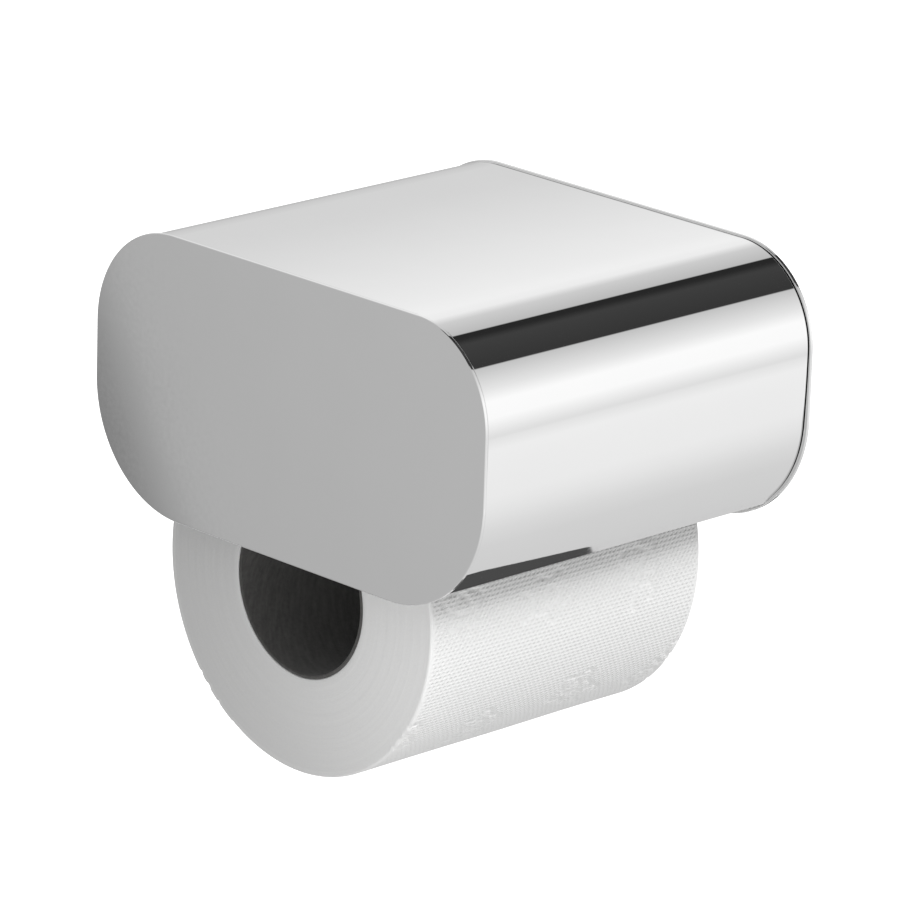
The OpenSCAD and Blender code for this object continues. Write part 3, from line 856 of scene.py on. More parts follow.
@dataclass
class Lid:
    """The wrap-over lid: one bent sheet, its ears and their bushes."""

    shop: Workshop
    skin: float = 1.5
    inset: float = 0.5
    rear_deg: float = 26.0
    lip_deg: float = 54.0
    hold_deg: float = 44.0
    crown_deg: float = 3.0
    edge: float = 0.25
    corners: Corners = Corners()
    web_t: float = 2.0
    flange_t: float = 1.5
    shoulder: float = 2.0
    bush_hole_r: float = 4.42
    bush_r: float = 4.4
    bush_bore_r: float = 3.05
    bush_flange_t: float = 0.8

    def skin_path(self) -> tuple[np.ndarray, np.ndarray]:
        """The outer skin's line from the rear edge to the front lip.

        The line runs forwards at a slope that grows from minus rear_deg: round
        the back bend, along the flat top, round the front bend to 90 degrees,
        down the slightly crowned front, round the lower bend to hold_deg, and
        then straight to the lip. Its points add up short steps along that slope.

        Returns:
            The points and the slopes in radians.
        """
        low, high = box_mm("left_end_plate")
        top = high[2] - self.inset
        back, front, bottom = self.corners.back_top, self.corners.front_top, self.corners.bottom
        y_back, y_front = high[1] - back, low[1] + front
        drop = (high[2] - front) - (low[2] + bottom)
        back_r, front_r, low_r = (r - self.inset for r in (back, front, bottom))
        low_deg = self.hold_deg - self.crown_deg
        turns = np.radians([self.rear_deg, 0.0, 90.0, self.crown_deg, low_deg, 0.0])
        hold, lip = math.radians(self.hold_deg), math.radians(self.lip_deg)
        lengths = np.array([
            back_r * turns[0],
            y_back - y_front,
            front_r * turns[2],
            drop + low_r * math.sin(turns[3]),
            low_r * turns[4],
            low_r * (math.sin(lip) - math.sin(hold)) / math.cos(hold),
        ])
        steps = np.array([24, 12, 64, 24, 44, 8])
        piece = np.repeat(np.arange(len(steps)), steps)
        run = (lengths / steps)[piece]
        turn = (turns / steps)[piece]
        slope = np.concatenate([[0.0], np.cumsum(turn)]) - turns[0]
        middle = (slope[1:] + slope[:-1]) / 2
        moves = np.stack([-np.cos(middle), -np.sin(middle)], axis=1) * run[:, None]
        rear = turns[0]
        start = np.array([y_back + back_r * math.sin(rear), top - back_r * (1 - math.cos(rear))])
        return start + np.concatenate([np.zeros((1, 2)), np.cumsum(moves, axis=0)]), slope

    def cover(self) -> None:
        """The bent sheet, carried from side to side with eased edges."""
        low, high = box_mm("lid_cover")
        outer, slope = self.skin_path()
        inner = outer + self.skin * np.stack([np.sin(slope), -np.cos(slope)], axis=1)
        loop = np.concatenate([outer, inner[::-1]])
        sheet = pressed([loop], low[0], high[0], self.edge, steps=6)
        self.shop.piece("lid_cover_sheet", sheet, "chrome_lid", Body.LID, ("lid_cover",))

    def ears(self) -> None:
        """A web with a round lower end for the bush, and a flange under the lid."""
        low, high = box_mm("left_lid_ear")
        pin_y, pin_z = middle_mm("left_hinge_bush")
        r = pin_z - low[2]
        web_back = pin_y + r - 2 * self.inset
        meet = math.degrees(math.acos((web_back - pin_y) / r))
        tall = high[2] - self.shoulder
        outline = np.concatenate([
            arc((pin_y, pin_z), r, 180, 360 + meet, 48),
            eased([(web_back, pin_z + r), (web_back, tall), (pin_y, tall)], 2.0)[1:],
            [(pin_y, high[2]), (pin_y - r, high[2])],
        ])
        hole = arc((pin_y, pin_z), self.bush_hole_r, 0, 360 * 47 / 48, 48)
        near = low[0] + 0.05
        flange_loop = eased(
            [(near, low[1]), (high[0], low[1]), (high[0], pin_y), (near, pin_y)], 2.0, closed=True
        )
        web = pressed([outline, hole], low[0], low[0] + self.web_t, self.edge)
        flange = pressed([flange_loop], high[2] - self.flange_t, high[2] - 0.02, self.edge, Along.Z)
        self.shop.pairs(Body.LID, ("lid_ear", "_bracket", web, "chrome_lid"), joined=(flange,))

    def bushes(self) -> None:
        """A flanged nylon bush in each ear, with a chamfered bore."""
        low, high = box_mm("left_hinge_bush")
        flange_r = (high[1] - low[1]) / 2
        bore, body_r, shoulder = self.bush_bore_r, self.bush_r, low[0] + self.bush_flange_t
        profile = ring_profile(
            [
                (low[0], bore), (low[0], flange_r), (shoulder, flange_r),
                (shoulder, body_r), (high[0], body_r), (high[0], bore),
            ],
            0.2,
        )
        bush = turned(profile, middle_mm("left_hinge_bush"))
        self.shop.pairs(Body.LID, ("hinge_bush", "_turned", bush, "ivory_nylon"))

    def build(self) -> None:
        """Makes the lid."""
        self.cover()
        self.ears()
        self.bushes()


@dataclass
class HingeAndRests:
    """Pins, snap rings, rest posts with rubber sleeves, and the rubber bumpers."""

    shop: Workshop
    pin_r: float = 3.0
    groove: float = 0.6
    play: float = 0.02
    ring_w: float = 2.4
    ring_ends_deg: float = 3.0
    stem_r: float = 1.2

    def pins(self) -> None:
        """A pin with a groove for its snap ring and a chamfered end."""
        low, high = box_mm("left_hinge_pin")
        ring_low, ring_high = box_mm("left_snap_ring")
        near, far = ring_low[0] - self.play, ring_high[0] + self.play
        r, neck = self.pin_r, self.pin_r - self.groove
        profile = eased(
            [
                (low[0], 0), (low[0], r), (near, r), (near, neck),
                (far, neck), (far, r), (high[0], r), (high[0], 0),
            ],
            0.25,
        )
        pin = turned(profile, middle_mm("left_hinge_pin"))
        self.shop.pairs(Body.HOLDER, ("hinge_pin", "_turned", pin, "stainless_pin"))

    def snap_rings(self) -> None:
        """A flat open ring, its two ends rounded."""
        low, high = box_mm("left_snap_ring")
        centre, ends = middle_mm("left_hinge_pin"), self.ring_ends_deg
        inner = self.pin_r - self.groove + self.play
        outer = inner + self.ring_w
        half_gap = inner * 0.7
        inner_gap, outer_gap = (math.degrees(math.asin(half_gap / r)) for r in (inner, outer))
        loop = np.concatenate([
            arc(centre, outer, -90 + outer_gap + ends, 270 - outer_gap - ends, 60),
            arc(centre, inner, 270 - inner_gap - ends, -90 + inner_gap + ends, 40),
        ])
        ring = pressed([loop], low[0], high[0], 0.15)
        self.shop.pairs(Body.HOLDER, ("snap_ring", "_stamped", ring, "spring_steel"))

    def rests(self) -> None:
        """Posts with a domed head, and the grooved rubber sleeve on each."""
        low, high = box_mm("left_rest_post")
        sleeve_low, sleeve_high = box_mm("left_rest_sleeve")
        centre = middle_mm("left_rest_post")
        head_r = (high[1] - low[1]) / 2
        r = self.pin_r
        post = eased([(low[0], 0), (low[0], r), (high[0] - 1, r), (high[0] - 1, head_r),
                      (high[0] - 0.3, head_r), (high[0], head_r - 1), (high[0], 0)], 0.3)
        sleeve_r = (sleeve_high[1] - sleeve_low[1]) / 2
        x0, x1 = sleeve_low[0], sleeve_high[0]
        middle, bore, groove_r = (x0 + x1) / 2, r + self.play, sleeve_r - 0.35
        sleeve = ring_profile(
            [
                (x0, bore), (x0, sleeve_r), (middle - 0.5, sleeve_r), (middle - 0.3, groove_r),
                (middle + 0.3, groove_r), (middle + 0.5, sleeve_r), (x1, sleeve_r), (x1, bore),
            ],
            0.5,
        )
        self.shop.pairs(
            Body.HOLDER,
            ("rest_post", "_turned", turned(post, centre), "stainless_pin"),
            ("rest_sleeve", "_moulded", turned(sleeve, centre), "black_rubber"),
        )

    def bumpers(self) -> None:
        """A rubber button with a soft top and a stem in the back bar."""
        low, high = box_mm("left_open_bumper")
        seat = box_mm("back_bar")[1][2] + 0.01
        r, stem = (high[0] - low[0]) / 2, self.stem_r
        profile = eased(
            [(low[2], 0), (low[2], stem), (seat, stem), (seat, r), (high[2], r), (high[2], 0)], 0.9
        )
        button = turned(profile, middle_mm("left_open_bumper", Along.Z), Along.Z)
        self.shop.pairs(Body.HOLDER, ("open_bumper", "_moulded", button, "black_rubber"))

    def build(self) -> None:
        """Makes them all."""
        self.pins()
        self.snap_rings()
        self.rests()
        self.bumpers()


@dataclass
class BackBar:
    """The bar across the back, its wall bracket, guard, screws, studs and nuts."""

    shop: Workshop
    gap: float = 0.3
    wall: float = 3.0
    pocket_l: float = 12.0
    rear_r: float = 34.0
    flat_h: float = 8.0
    stud_r: float = 1.5
    hole_r: float = 2.5
    hole_x: float = 25.0
    head_r: float = 4.5
    head_d: float = 3.5
    grub_r: float = 2.0
    grub_x: float = 14.0
    sheet: float = 1.0
    guard_r: float = 26.0
    guard_foot: float = 8.0
    guard_top_deg: float = 78.0
    thread_pitch: float = 0.5
    nut_bore_r: float = 1.52

    def block(self, low: tuple, high: tuple) -> Surface:
        """A box to cut with, pressed along Y, its upright edges eased."""
        return pressed([self.rectangle(low, high, 0.6)], low[1], high[1], 0.05, Along.Y)

    def rectangle(self, low: tuple, high: tuple, radius: float) -> np.ndarray:
        """The front outline of a box, with eased corners."""
        corners = [(low[0], low[2]), (high[0], low[2]), (high[0], high[2]), (low[0], high[2])]
        return eased(corners, radius, closed=True)

    def drill(self, r: float, start: float, end: float, centre: tuple, along: Along) -> Surface:
        """A round cutter along an axis."""
        return turned(np.array([(start, 0), (start, r), (end, r), (end, 0)]), centre, along, steps=48)

    def bar(self) -> None:
        """The bar's section with its rounded lower back corner, and its pockets."""
        low, high = box_mm("back_bar")
        centre_z = high[2] - self.flat_h
        lowest = math.degrees(math.asin((low[2] - centre_z) / self.rear_r))
        front = low[1]
        upright = [(0, centre_z), (0, high[2]), (front, high[2]), (front, low[2]), (front + 2, low[2])]
        section = np.concatenate([
            arc((-self.rear_r, centre_z), self.rear_r, lowest, 0, 24),
            eased(upright, 0.8)[1:],
        ])
        bracket_low, bracket_high = box_mm("wall_bracket")
        g = self.gap
        tools = [
            self.block(
                (bracket_low[0] - g, bracket_low[1] - g, bracket_low[2] - g),
                (bracket_high[0] + g, 2.0, bracket_high[2] + g),
            )
        ]
        wall, end = self.wall, high[0] - self.wall
        for sign in SIDES.values():
            near, far = sorted((sign * (end - self.pocket_l), sign * end))
            tools.append(self.block((near, low[1] - 1, low[2] + wall), (far, -wall, high[2] - wall)))
        screw_low, screw_high = box_mm("bracket_grub_screws")
        screw_y = (screw_low[1] + screw_high[1]) / 2
        for sign in SIDES.values():
            centre = sign * (screw_high[0] - self.grub_r), screw_y
            tools.append(self.drill(self.grub_r + 0.02, low[2] - 1, bracket_low[2], centre, Along.Z))
        bar = pressed([section], low[0], high[0], 0.3)
        self.shop.piece(
            "back_bar_casting", bar, "chrome_plate", Body.HOLDER, ("back_bar",), tools=tuple(tools)
        )

    def bracket(self) -> None:
        """A cast block with two stepped screw holes and two dimples for the grub screws."""
        low, high = box_mm("wall_bracket")
        middle_y, middle_z = middle_mm("wall_bracket")
        nodes, tools = ("wall_bracket",), []
        for sign in SIDES.values():
            centre, dimple = (sign * self.hole_x, middle_z), (sign * self.grub_x, middle_y)
            tools.append(self.drill(self.hole_r, low[1] - 1, 1.0, centre, Along.Y))
            tools.append(self.drill(self.head_r, low[1] - 1, low[1] + self.head_d, centre, Along.Y))
            tools.append(self.drill(1.22, low[2] - 1, low[2] + 1.2, dimple, Along.Z))
        block = pressed([self.rectangle(low, high, 1.5)], low[1], high[1], 0.5, Along.Y)
        self.shop.piece(
            "wall_bracket_casting", block, "cast_zinc", Body.HOLDER, nodes, tools=tuple(tools)
        )

    def grub_screws(self) -> None:
        """Dog-point screws with a hexagonal socket below, turned plain without a thread."""
        low, high = box_mm("bracket_grub_screws")
        shoulder = box_mm("wall_bracket")[0][2] - self.gap
        y = (low[1] + high[1]) / 2
        start, end, r = low[2], high[2], self.grub_r
        rows = [
            (start + 2.0, 0), (start + 2.0, 1.1), (start, 1.15), (start, 1.55), (start + 0.4, r),
            (shoulder - 0.3, r), (shoulder, 1.6), (shoulder, 1.2),
            (end - 0.2, 1.2), (end, 1.0), (end, 0),
        ]
        screws = self.socket_screws(rows, high[0] - r, y)
        self.shop.piece(
            "bracket_grub_screws_set", screws, "black_oxide", Body.HOLDER, ("bracket_grub_screws",)
        )

    def socket_screws(self, rows: list, x: float, y: float) -> Surface:
        """Two upright screws at x to either side, the first three rows of each a hexagonal socket."""
        socket = np.array([1.0, 1.0, 1.0] + [0.0] * (len(rows) - 3))
        screws = Surface.empty()
        for sign in SIDES.values():
            screws = screws + turned(np.array(rows), (sign * x, y), Along.Z, socket)
        return screws

    def guard(self) -> None:
        """The curved sheet behind the lid: an arc about the hinge that ends in a foot."""
        low, high = box_mm("back_guard")
        y, z = middle_mm("left_hinge_bush")
        thick, start = self.sheet, self.guard_top_deg
        outer, inner = self.guard_r, self.guard_r - thick
        outer_end = -math.degrees(math.asin((z - low[2]) / outer))
        inner_end = -math.degrees(math.asin((z - low[2] - thick) / inner))
        toe = y + outer * math.cos(math.radians(outer_end)) - self.guard_foot
        section = np.concatenate([
            arc((y, z), outer, start, outer_end, 64),
            [(toe, low[2]), (toe, low[2] + thick)],
            arc((y, z), inner, inner_end, start, 64),
        ])
        sheet = pressed([section], low[0], high[0], 0.3)
        self.shop.piece("back_guard_sheet", sheet, "chrome_plate", Body.HOLDER, ("back_guard",))

    def guard_screws(self) -> None:
        """Round-headed screws with a hexagonal socket."""
        low, high = box_mm("guard_screws")
        head_r = (high[1] - low[1]) / 2
        y = (low[1] + high[1]) / 2
        foot, top, end = box_mm("back_guard")[0][2] + self.sheet, high[2], low[2]
        rows = [
            (top - 0.75, 0), (top - 0.75, 1.2), (top, 1.25), (top, 1.7), (top - 0.3, 2.2),
            (top - 0.9, head_r), (foot, head_r), (foot, 1.25), (end + 0.4, 1.25), (end, 0.9), (end, 0),
        ]
        screws = self.socket_screws(rows, high[0] - head_r, y)
        self.shop.piece("guard_screws_set", screws, "stainless_pin", Body.HOLDER, ("guard_screws",))

    def studs(self) -> None:
        """Two threaded studs and two chamfered nuts at each end."""
        low, high = box_mm("left_plate_studs")
        nut_low, nut_high = box_mm("left_stud_nuts")
        y = (low[1] + high[1]) / 2
        heights = low[2] + self.stud_r, high[2] - self.stud_r
        flat = (nut_high[1] - nut_low[1]) / 2
        corner = flat / math.cos(math.pi / 6)
        x0, x1, bore, chamfer = nut_low[0], nut_high[0], self.nut_bore_r, corner * 0.88
        rows = [
            (x0, bore), (x0, chamfer), (x0 + 0.3, corner), (x1 - 0.3, corner), (x1, chamfer),
            (x1, 1.8), (x1 - 0.3, bore), (x0, bore),
        ]
        sixfold = np.array([0.0, 0.0, 1.0, 1.0, 0.0, 0.0, 0.0, 0.0])
        studs, nuts = Surface.empty(), Surface.empty()
        for z in heights:
            studs = studs + threaded(low[0], high[0], self.stud_r, self.thread_pitch, (y, z), Along.X)
            nuts = nuts + turned(np.array(rows), (y, z), hexagonal=sixfold)
        self.shop.pairs(
            Body.HOLDER,
            ("plate_studs", "_threaded", studs, "stainless_pin"),
            ("stud_nuts", "_hex", nuts, "brass_nut"),
        )

    def build(self) -> None:
        """Makes the bar and all that is on it."""
        self.bar()
        self.bracket()
        self.grub_screws()
        self.guard()
        self.guard_screws()
        self.studs()


@dataclass
class RollBar:
    """The sprung bar: tube, fixed tip, ferrule, plunger, spring and its stop, and the sockets."""

    shop: Workshop
    tube_wall: float = 0.8
    wire_r: float = 0.45
    turns: int = 10
    tip_r: float = 2.8
    hole_r: float = 2.9
    neck_r: float = 3.2
    ferrule_bore_r: float = 3.25
    travel: float = 5.0

    def __post_init__(self) -> None:
        """Reads the bar's axis and radii from the frame."""
        low, high = box_mm("bar_tube")
        self.centre = middle_mm("bar_tube")
        self.r = (high[1] - low[1]) / 2
        self.plug_r = self.r - self.tube_wall - 0.02

    def turned_piece(
        self, node: str, rows: list, ease: float, finish: str, body: Body, ring: bool = False
    ) -> None:
        """One turned piece of the bar, solid or with a bore."""
        profile = ring_profile(rows, ease) if ring else eased(rows, ease)
        self.shop.piece(node + "_turned", turned(profile, self.centre), finish, body, (node,))

    def tube(self) -> None:
        """The tube, its fixed end tip and the ferrule that the plunger slides in."""
        x0, x1 = box_mm("bar_tube")[0][0], box_mm("bar_tube")[1][0]
        r, plug, bore, tip = self.r, self.plug_r, self.r - self.tube_wall, self.tip_r
        rows = [(x0, bore), (x0, r), (x1, r), (x1, bore)]
        self.turned_piece("bar_tube", rows, 0.12, "chrome_bar", Body.ROLL_BAR, ring=True)
        low, high = box_mm("bar_end_tip")
        near, far = x1 + 0.01, x1 + 2
        rows = [
            (low[0], 0), (low[0], plug), (near, plug), (near, r),
            (far, r), (far, tip), (high[0], tip), (high[0], 0),
        ]
        self.turned_piece("bar_end_tip", rows, 0.5, "chrome_bar", Body.ROLL_BAR)
        low, high = box_mm("bar_ferrule")
        near, neck = x0 - 0.01, self.ferrule_bore_r
        rows = [(low[0], neck), (low[0], r), (near, r), (near, plug), (high[0], plug), (high[0], neck)]
        self.turned_piece("bar_ferrule", rows, 0.25, "chrome_bar", Body.ROLL_BAR, ring=True)
        low, high = box_mm("bar_spring_stop")
        rows = [(low[0], 0), (low[0], plug), (high[0], plug), (high[0], 0)]
        self.turned_piece("bar_spring_stop", rows, 0.3, "ivory_nylon", Body.ROLL_BAR)

    def plunger(self) -> None:
        """The sliding tip: a round nose, a thicker neck and a head inside the tube."""
        low, high = box_mm("bar_plunger")
        tip, neck, head = self.tip_r, self.neck_r, (high[1] - low[1]) / 2
        shoulder, head_x = low[0] + 4.5, high[0] - 6.0
        rows = [
            (low[0], 0), (low[0], tip), (shoulder, tip), (shoulder, neck),
            (head_x, neck), (head_x, head), (high[0], head), (high[0], 0),
        ]
        self.turned_piece("bar_plunger", rows, 0.5, "ivory_nylon", Body.PLUNGER)

    def spring(self) -> None:
        """A coiled wire with closed ends.

        The wire's centre goes round a circle as it moves along X. It moves one
        wire's thickness a turn over the first and last turns, and evenly
        between them. A circle of the wire's radius is carried along it.
        """
        low, high = box_mm("plunger_spring")
        coil_r = (high[1] - low[1]) / 2 - self.wire_r
        close = 2 * self.wire_r + 0.02
        turn = np.linspace(0, self.turns, self.turns * 36 + 1)
        length = high[0] - low[0] - 2 * self.wire_r
        ends = [0, 1, self.turns - 1, self.turns]
        along = np.interp(turn, ends, [0, close, length - close, length])
        phase = 2 * np.pi * turn[:, None]
        around = np.linspace(0, 2 * np.pi, 12, endpoint=False)[None, :]
        radius = coil_r + self.wire_r * np.cos(around)
        x = low[0] + self.wire_r + along[:, None] + self.wire_r * np.sin(around)
        wire = placed(x, about(self.centre, radius, phase), Along.X)
        tips = [np.broadcast_to(ring.mean(axis=0), ring.shape)[None] for ring in (wire[0], wire[-1])]
        coil = woven(np.concatenate([tips[0], wire, tips[1]]))
        piece = self.shop.piece(
            "plunger_spring_coil", coil, "spring_steel", Body.ROLL_BAR, ("plunger_spring",)
        )
        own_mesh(piece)

    def sockets(self) -> None:
        """A round boss on each end plate with a blind hole for the tip."""
        low, high = box_mm("left_bar_socket")
        r, hole, base, face = (high[1] - low[1]) / 2, self.hole_r, low[0], high[0]
        rows = [
            (base, 0), (base, r), (face - 0.6, r), (face, r - 0.6),
            (face, hole + 0.3), (face - 0.3, hole), (base + 1, hole), (base + 1, 0),
        ]
        boss = turned(eased(rows, 0.3), self.centre)
        self.shop.pairs(Body.HOLDER, ("bar_socket", "_turned", boss, "chrome_socket"))

    def build(self) -> None:
        """Makes the bar and its sockets."""
        self.tube()
        self.plunger()
        self.spring()
        self.sockets()


@dataclass
class PaperRoll:
    """The wound paper with its embossed outer sheet, and the cardboard core."""

    shop: Workshop
    corner: float = 0.7
    sheet_step: float = 0.18
    tail_deg: float = 300.0
    press: float = 0.45
    pattern_shift: float = 23.2
    pattern_rows: int = 8
    pattern_pitch: float = 33.0
    line_width: float = 0.55
    petals_r: float = 6.2
    heart_r: float = 2.6
    around: int = 640
    core_wall: float = 1.0
    core_lead: float = 78.0
    groove_w: float = 0.9
    groove_d: float = 0.28

    def __post_init__(self) -> None:
        """Reads the roll's axis and radii from the frame."""
        low, high = box_mm("roll_paper")
        core_low, core_high = box_mm("roll_core")
        self.half = high[0]
        self.centre = middle_mm("roll_paper")
        self.r = (high[1] - low[1]) / 2
        self.core_r = (core_high[1] - core_low[1]) / 2
        self.core_half = core_high[0]

    def flourish(self, u: np.ndarray, v: np.ndarray) -> np.ndarray:
        """The pressed pattern on the unrolled sheet, from 0 to 1.

        Blossoms lie on a staggered lattice. In polar coordinates about each,
        a line of constant width follows radius = size (1 + 0.22 cos(5 angle)),
        a second follows a smaller one of three waves, and a curl beside it is a spiral whose
        radius grows with the angle. The pattern is the highest of the lines,
        each a bell curve across its width.

        Args:
            u: distance round the roll, in millimetres.
            v: distance along it, in millimetres.

        Returns:
            The strength of the pressed lines.
        """
        rows, pitch_v = self.pattern_rows, self.pattern_pitch
        pitch_u = 2 * math.pi * self.r / rows
        u = u + self.pattern_shift
        row = np.mod(np.floor(u / pitch_u), rows)
        across = v + np.where(np.mod(row, 2) > 0, pitch_v / 2, 0.0)
        column = np.floor(across / pitch_v)
        du = np.mod(u, pitch_u) - pitch_u * (0.46 + 0.07 * np.sin(3.1 * column + row))
        dv = np.mod(across, pitch_v) - pitch_v * (0.42 + 0.06 * np.cos(2.3 * row))
        lean = 0.8 * row + 1.7 * column

        def line(offset: np.ndarray) -> np.ndarray:
            """A bell curve across a line, from the distance to it."""
            return np.exp(-((offset / self.line_width) ** 2))

        reach, angle = np.hypot(du, dv), np.arctan2(dv, du) + lean
        petals = line(reach - self.petals_r * (1 + 0.22 * np.cos(5 * angle)))
        heart = line(reach - self.heart_r * (1 + 0.15 * np.cos(3 * angle)))
        cu, cv = du - 12.5 * np.cos(lean), dv - 11.0 * np.sin(lean)
        curl_reach = np.hypot(cu, cv)
        curl_angle = np.mod(np.arctan2(cv, cu) - lean, 2 * np.pi)
        curl = np.where(curl_angle < 5.2, line(curl_reach - (1.6 + 0.75 * curl_angle)), 0.0)
        return np.maximum(np.maximum(petals, heart), curl)

    def outer_sheet(self) -> None:
        """The embossed outer sheet.

        It is a grid of angle by width. The radius falls by sheet_step over one
        turn, so that the sheet's free end stands proud of the next layer. It
        falls further by the pressed pattern, by a slow wave, and at both ends
        by corner (1 - cos t) where the width grows by corner sin t.
        """
        angle = np.linspace(0, 2 * np.pi, self.around, endpoint=False)[None, :]
        t = np.linspace(0, np.pi / 2, 6)[1:, None]
        flat_half = self.half - self.corner
        flat = np.linspace(-flat_half, flat_half, 138)[:, None]
        width = np.concatenate([
            -flat_half - self.corner * np.sin(t[::-1]), flat, flat_half + self.corner * np.sin(t)
        ])
        fall = np.concatenate([
            self.corner * (1 - np.cos(t[::-1])), np.zeros_like(flat), self.corner * (1 - np.cos(t))
        ])
        from_tail = np.mod(angle - math.radians(self.tail_deg), 2 * np.pi) / (2 * np.pi)
        pattern = self.flourish(angle * self.r + 0 * width, width + self.half + 0 * angle)
        slow = 0.10 + 0.05 * np.sin(3 * angle + 0.05 * width)
        slow = slow + 0.05 * np.sin(width / 9 + 2 * np.sin(angle))
        radius = self.r - self.sheet_step * from_tail - self.press * pattern - slow - fall
        points = placed(width, about(self.centre, radius, angle), Along.X)
        tuck = points[[0, -1]].copy()
        tuck[..., 1:] += (np.array(self.centre) - tuck[..., 1:]) * (2.5 / self.r)
        tuck[..., 0] *= 1 - 0.4 / self.half
        points = np.concatenate([tuck[:1], points, tuck[1:]])
        piece = self.shop.piece(
            "roll_outer_sheet", woven(points), "tissue", Body.ROLL, ("roll_paper",), crease=180.0
        )
        self.map_sheet(piece)

    def map_sheet(self, piece: bpy.types.Object) -> None:
        """Maps the sheet by distance round and along it, and marks the pressed lines."""
        mesh = piece.data
        count = len(mesh.vertices)
        place = np.zeros(count * 3, np.float32)
        mesh.vertices.foreach_get("co", place)
        place = place.reshape(-1, 3) / MM
        y, z = place[:, 1] - self.centre[0], place[:, 2] - self.centre[1]
        around = np.mod(np.arctan2(z, y), 2 * np.pi)
        u, v = around * self.r, place[:, 0] + self.half
        # The "flourish" mark fades the dimples and carries the pressed lines' painted shade; the rounded
        # ends are marked in full too, so they are darkened in the same way.
        mark = mesh.attributes.new("flourish", "FLOAT", "POINT")
        from_end = self.half - np.abs(place[:, 0])
        plain = np.clip((self.corner + 1.2 - from_end) / 1.2, 0, 1)
        value = np.maximum(0.75 * self.flourish(u, v), plain)
        mark.data.foreach_set("value", value.astype(np.float32))
        corner = np.zeros(len(mesh.loops), np.int32)
        mesh.loops.foreach_get("vertex_index", corner)
        first = np.zeros(len(mesh.polygons), np.int32)
        total = np.zeros(len(mesh.polygons), np.int32)
        mesh.polygons.foreach_get("loop_start", first)
        mesh.polygons.foreach_get("loop_total", total)
        face = np.repeat(np.arange(len(first)), total)
        turn = u[corner]
        lowest = np.minimum.reduceat(turn, first)[face]
        highest = np.maximum.reduceat(turn, first)[face]
        whole = 2 * math.pi * self.r
        turn = np.where((highest - lowest > whole / 2) & (turn < whole / 2), turn + whole, turn)
        self.shop.give_map(piece, np.stack([turn, v[corner]], axis=1))

    def wound_layers(self) -> None:
        """The roll's two cut ends and its bore.

        On a grid of angle by radius, the end stands back from the roll's width
        by the sum of three ring waves of falling pitch, and by a slow wave
        round the roll, so the layers lie slightly proud and shy of each other.
        """
        angle = np.linspace(0, 2 * np.pi, 320, endpoint=False)[None, :]
        radius = np.linspace(self.core_r + 0.05, self.r - self.corner - 0.3, 88)[:, None]
        rings = np.sin(radius * 2.1 + 0.6 * np.sin(angle)) + 0.7 * np.sin(radius * 3.9 + 1.0)
        fine = 0.5 * np.sin(radius * 8.7 + np.sin(2 * angle))
        sway = 0.5 * np.sin(angle + 0.08 * radius) + 0.5 * np.sin(2 * angle + 1.0)
        lip = np.exp(-((radius - self.core_r) / 0.8)) * 0.35
        back = 0.14 + 0.014 * (rings + fine) + 0.07 * sway + lip
        flat = about(self.centre, radius, angle)
        left = placed(-self.half + back, flat, Along.X)
        right = placed(self.half - back, flat, Along.X)
        layers = woven(np.concatenate([left[::-1], right]), wrap_rows=True)
        self.shop.piece(
            "roll_wound_layers", layers, "tissue_cut_ends", Body.ROLL, ("roll_paper",), "tissue",
            crease=180.0,
        )

    def core(self) -> None:
        """The cardboard tube, wound from a strip.

        The bore's radius grows by a narrow groove that follows a helix, where
        the strip's edges meet, and by a slow wave.
        """
        angle = np.linspace(0, 2 * np.pi, 240, endpoint=False)[None, :]
        inner, outer, half = self.core_r - self.core_wall, self.core_r - 0.02, self.core_half
        rim, lead = 0.25, self.core_lead
        x = np.linspace(rim - half, half - rim, 120)[:, None]
        off_seam = np.mod(x / lead - angle / (2 * np.pi) + 0.5, 1) - 0.5
        seam = np.exp(-((off_seam * lead / self.groove_w) ** 2))
        bore = inner + 0.03 + 0.02 * np.sin(x / 7 + 2 * angle) + self.groove_d * seam
        outside = [(half, outer - rim), (half - rim, outer), (rim - half, outer), (-half, outer - rim)]
        ends, radii = zip(*outside)
        rings = [r * np.ones_like(angle) for r in radii]
        wall = np.concatenate([bore[:1] + rim, bore, bore[-1:] + rim] + rings)
        place = np.concatenate([[[-half]], x, [[half]]] + [[[at]] for at in ends])
        tube = woven(placed(place, about(self.centre, wall, angle), Along.X), wrap_rows=True)
        piece = self.shop.piece("roll_core_tube", tube, "cardboard", Body.ROLL, ("roll_core",))
        self.map_core(piece)

    def map_core(self, piece: bpy.types.Object) -> None:
        """Maps the tube along and across the strip that it is wound from."""
        mesh = piece.data
        place = np.zeros(len(mesh.vertices) * 3, np.float32)
        mesh.vertices.foreach_get("co", place)
        place = place.reshape(-1, 3)
        around = np.arctan2(place[:, 2] - self.centre[1] * MM, place[:, 1] - self.centre[0] * MM)
        corner = np.zeros(len(mesh.loops), np.int32)
        mesh.loops.foreach_get("vertex_index", corner)
        u = np.abs(around) * self.core_r * MM
        v = place[:, 0] - self.core_lead * MM * around / (2 * math.pi)
        self.shop.give_map(piece, np.stack([u, v], axis=1)[corner])

    def build(self) -> None:
        """Makes the roll."""
        self.outer_sheet()
        self.wound_layers()
        self.core()


# ---------------------------------------------------------------- studio


@dataclass(frozen=True)
class Card:
    """A band of the studio that the polished metal sees, by its angle about X.

    The angle runs from the wall side (0) over the top (90) to the front (180)
    and under the object (270). Brightness changes evenly from start to end.
    """

    start: float
    end: float
    first: float
    last: float


